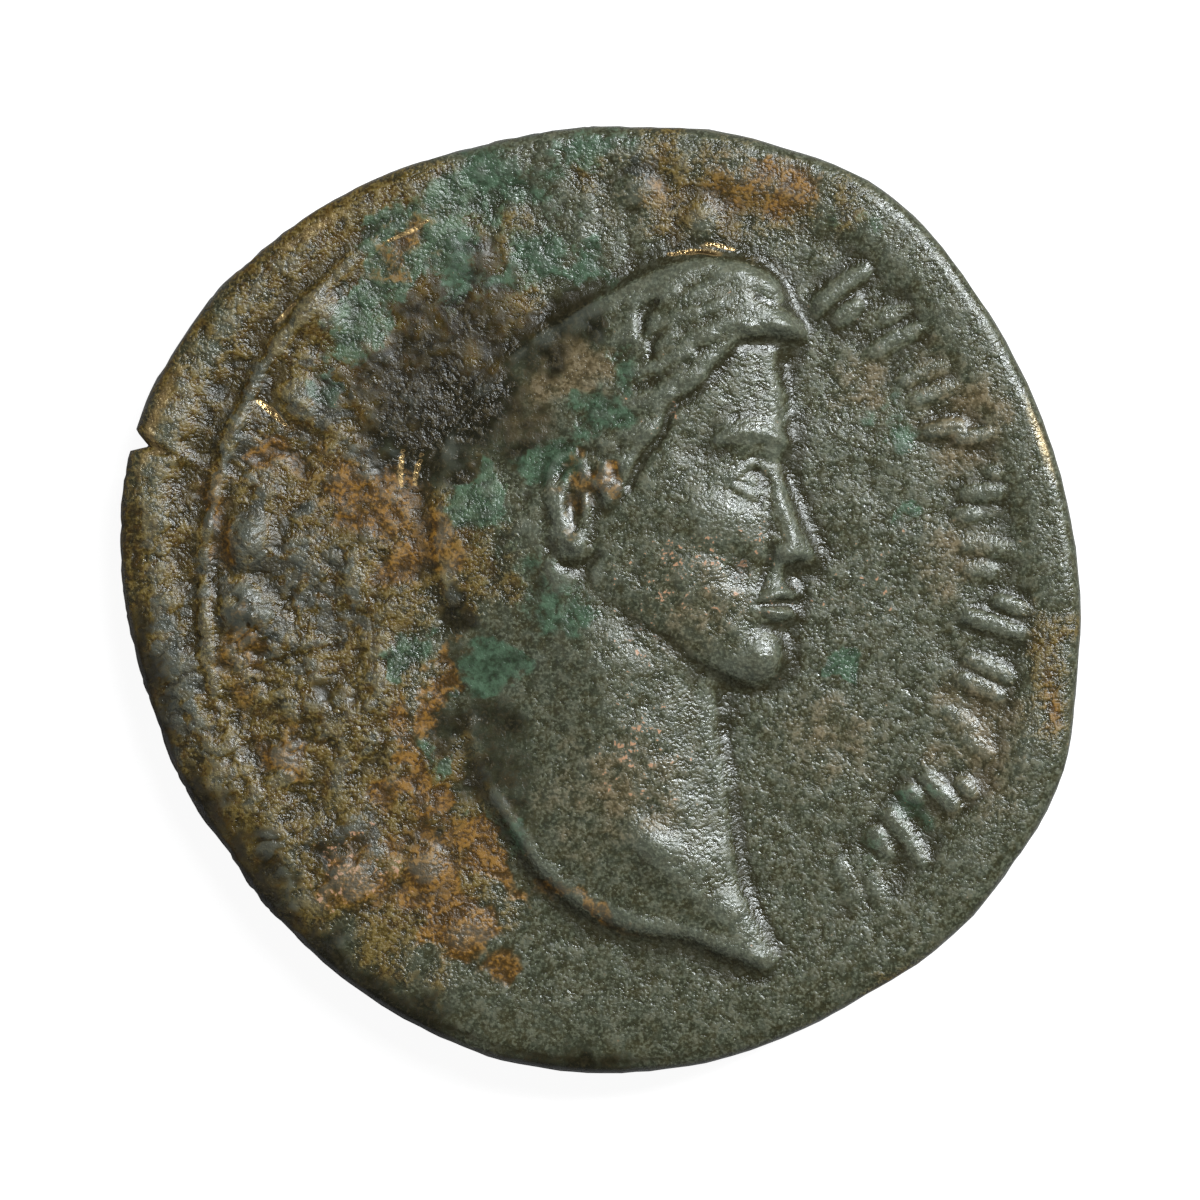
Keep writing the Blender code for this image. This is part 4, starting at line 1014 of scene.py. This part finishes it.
def patina():
    """Dark glossy patina, with stains in patches over it, metal where it is rubbed, and partly painted
    shade and glints.
    """
    material = bpy.data.materials.new("bronze_patina")
    material.use_nodes = True
    tree = material.node_tree
    shader = tree.nodes["Principled BSDF"]
    deposit = deposit_group()
    sizes = {"Size": GRAIN_SIZE, "Coarseness": COARSE_GRAIN, "Rise": COARSE_HEIGHT, "Clouds": CLOUD_SIZE}
    grain = add_node(tree, "ShaderNodeGroup", sizes, node_tree=grain_group())
    fine, coarse, cloud, drift = (grain.outputs[name] for name in ("Fine", "Coarse", "Cloud", "Drift"))
    speckle = sum_of(tree, sum_of(tree, fine, coarse), 0.5, "MULTIPLY")

    def value(name):
        return add_node(tree, "ShaderNodeAttribute", {}, attribute_name=name).outputs["Fac"]

    def mask(name):
        level, softness, speckled = MASKS[name]
        inputs = {"Amount": value(name), "Grain": speckle, "Level": level}
        inputs.update({"Softness": softness, "Speckle": speckled})
        return add_node(tree, "ShaderNodeGroup", inputs, node_tree=deposit).outputs["Mask"]

    def shown(name, amount):
        return ramped(tree, amount, *RANGES[name])

    def blend(amount, first, second):
        return mixed(tree, amount, tone(first), tone(second))

    def laid(below, amount, name, above=None):
        top = tone(name) if above is None else above
        return mixed(tree, sum_of(tree, amount, COVER[name], "MULTIPLY"), below, top)

    cavity = value("cavity")
    # Darker in hollows: partly dirt lodged in them, partly painted shade.
    hollow = shown("hollow", cavity)
    crest = shown("crest", sum_of(tree, cavity, -1.0, "MULTIPLY"))
    mottle = shown("mottle", cloud)
    warmth = shown("warmth", drift)
    # Lighter where the grain is high and darker where it is low: partly the crust's own tone, partly
    # painted glints and painted shade on the grain.
    pale = shown("pale", speckle)
    pits = shown("pits", speckle)
    flecks_and_glints = shown("flecks_and_glints", fine)

    # A crust's clouds and warm drift, with its pale and fleck tones on the grain's tops, which are partly
    # painted glints.
    def crusted(name):
        look = blend(mottle, name, name + " cloud")
        for amount, kind in ((warmth, " warm"), (pale, " pale"), (flecks_and_glints, " fleck")):
            look = laid(look, amount, name + kind)
        return look

    masks = {name: mask(name) for name in MASKS}
    grainy = {name: blend(pale, name, name + " pale") for name in ("tan", "soot_and_shade", "ochre")}
    grainy["verdigris"] = blend(mottle, "verdigris", "verdigris cloud")
    look = mixed(tree, masks["earth"], crusted("patina"), crusted("earth"))
    for name in ("slate", "tan", "soot_and_shade", "verdigris", "ochre", "copper"):
        look = laid(look, masks[name], name, grainy.get(name))
    # Last come the dark pits with painted shade on the grain, darkening in hollows that is partly dirt and
    # partly painted shade, and the worn crests.
    for name, amount in {"pits": pits, "hollow": hollow, "crest": crest}.items():
        look = laid(look, amount, name)
    metal = masks["bared"]
    tree.links.new(mixed(tree, metal, look, tone("metal")), shader.inputs["Base Color"])
    tree.links.new(metal, shader.inputs["Metallic"])

    dull = sum_of(tree, sum_of(tree, masks["earth"], masks["ochre"]), DEPOSIT_DULLNESS, "MULTIPLY")
    rough = ramped(tree, coarse, *SHEEN)
    tree.links.new(sum_of(tree, rough, dull), shader.inputs["Roughness"])

    smooth = sum_of(tree, masks["ochre"], masks["soot_and_shade"])
    uneven = sum_of(tree, masks["earth"], smooth, "SUBTRACT")
    crust = ramped(tree, uneven, -1.0, 1.0, *CRUST_HEIGHT)
    height = sum_of(tree, grain.outputs["Height"], crust, "MULTIPLY")
    bump = add_node(tree, "ShaderNodeBump", {"Height": height, "Distance": GRAIN_HEIGHT})
    tree.links.new(bump.outputs["Normal"], shader.inputs["Normal"])
    return material


def floor():
    """The plain floor that the coin lies on."""
    bm = bmesh.new()
    bmesh.ops.create_grid(bm, x_segments=1, y_segments=1, size=FLOOR_REACH)
    mesh = bpy.data.meshes.new("floor")
    bm.to_mesh(mesh)
    bm.free()
    material = bpy.data.materials.new("pale_floor")
    material.use_nodes = True
    tree = material.node_tree
    shader = tree.nodes["Principled BSDF"]
    seen = tree.nodes.new("ShaderNodeLightPath").outputs["Is Camera Ray"]
    tree.links.new(seen, shader.inputs["Emission Color"])
    shader.inputs["Base Color"].default_value = FLOOR_COLOUR
    shader.inputs["Emission Strength"].default_value = FLOOR_GLOW
    shader.inputs["Roughness"].default_value = 0.9
    shader.inputs["Specular IOR Level"].default_value = 0.0
    mesh.materials.append(material)
    ground = bpy.data.objects.new("floor", mesh)
    bpy.context.scene.collection.objects.link(ground)
    return ground


def area_light(name, bearing, elevation, distance, size, power, tint):
    """A soft square light aimed at the coin from a bearing and elevation in degrees."""
    light = bpy.data.lights.new(name, "AREA")
    light.size = size
    light.energy = power
    light.color = tint
    lamp = bpy.data.objects.new(name, light)
    turn, rise = math.radians(bearing), math.radians(elevation)
    aim = Vector((math.cos(turn) * math.cos(rise), math.sin(turn) * math.cos(rise), math.sin(rise)))
    lamp.location = aim * distance
    lamp.rotation_euler = aim.to_track_quat("Z", "Y").to_euler()
    bpy.context.scene.collection.objects.link(lamp)


def surround():
    """A surround that is bright round the horizon and dark overhead, as in a photographer's tent."""
    world = bpy.data.worlds.new("surround")
    world.use_nodes = True
    tree = world.node_tree
    direction = tree.nodes.new("ShaderNodeTexCoord").outputs["Generated"]
    rise = add_node(tree, "ShaderNodeSeparateXYZ", {0: direction}).outputs["Z"]
    strength = ramped(tree, rise, *SURROUND_RISE, HORIZON_LIGHT, ZENITH_LIGHT)
    tree.links.new(strength, tree.nodes["Background"].inputs["Strength"])
    tree.nodes["Background"].inputs["Color"].default_value = (*WHITE, 1.0)
    return world


def studio():
    """Soft light from the upper right, a weak fill, the surround and the camera straight above."""
    for name, settings in LIGHTS.items():
        area_light(name, *settings)
    scene = bpy.context.scene
    scene.world = surround()
    scene.view_settings.view_transform = "Standard"
    camera = bpy.data.cameras.new("camera")
    camera.lens = LENS
    camera.sensor_width = SENSOR
    eye = bpy.data.objects.new("camera", camera)
    widest = REVERSE_RELIEF + FIELD_THICKNESS / 2
    away = PICTURE_WIDTH * PIXEL * LENS / SENSOR
    eye.location = (0.0, 0.0, widest + away)
    scene.collection.objects.link(eye)
    scene.camera = eye


coin = struck_coin()
coin.data.materials.append(patina())
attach(coin, "root")
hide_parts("coin")
floor()
studio()
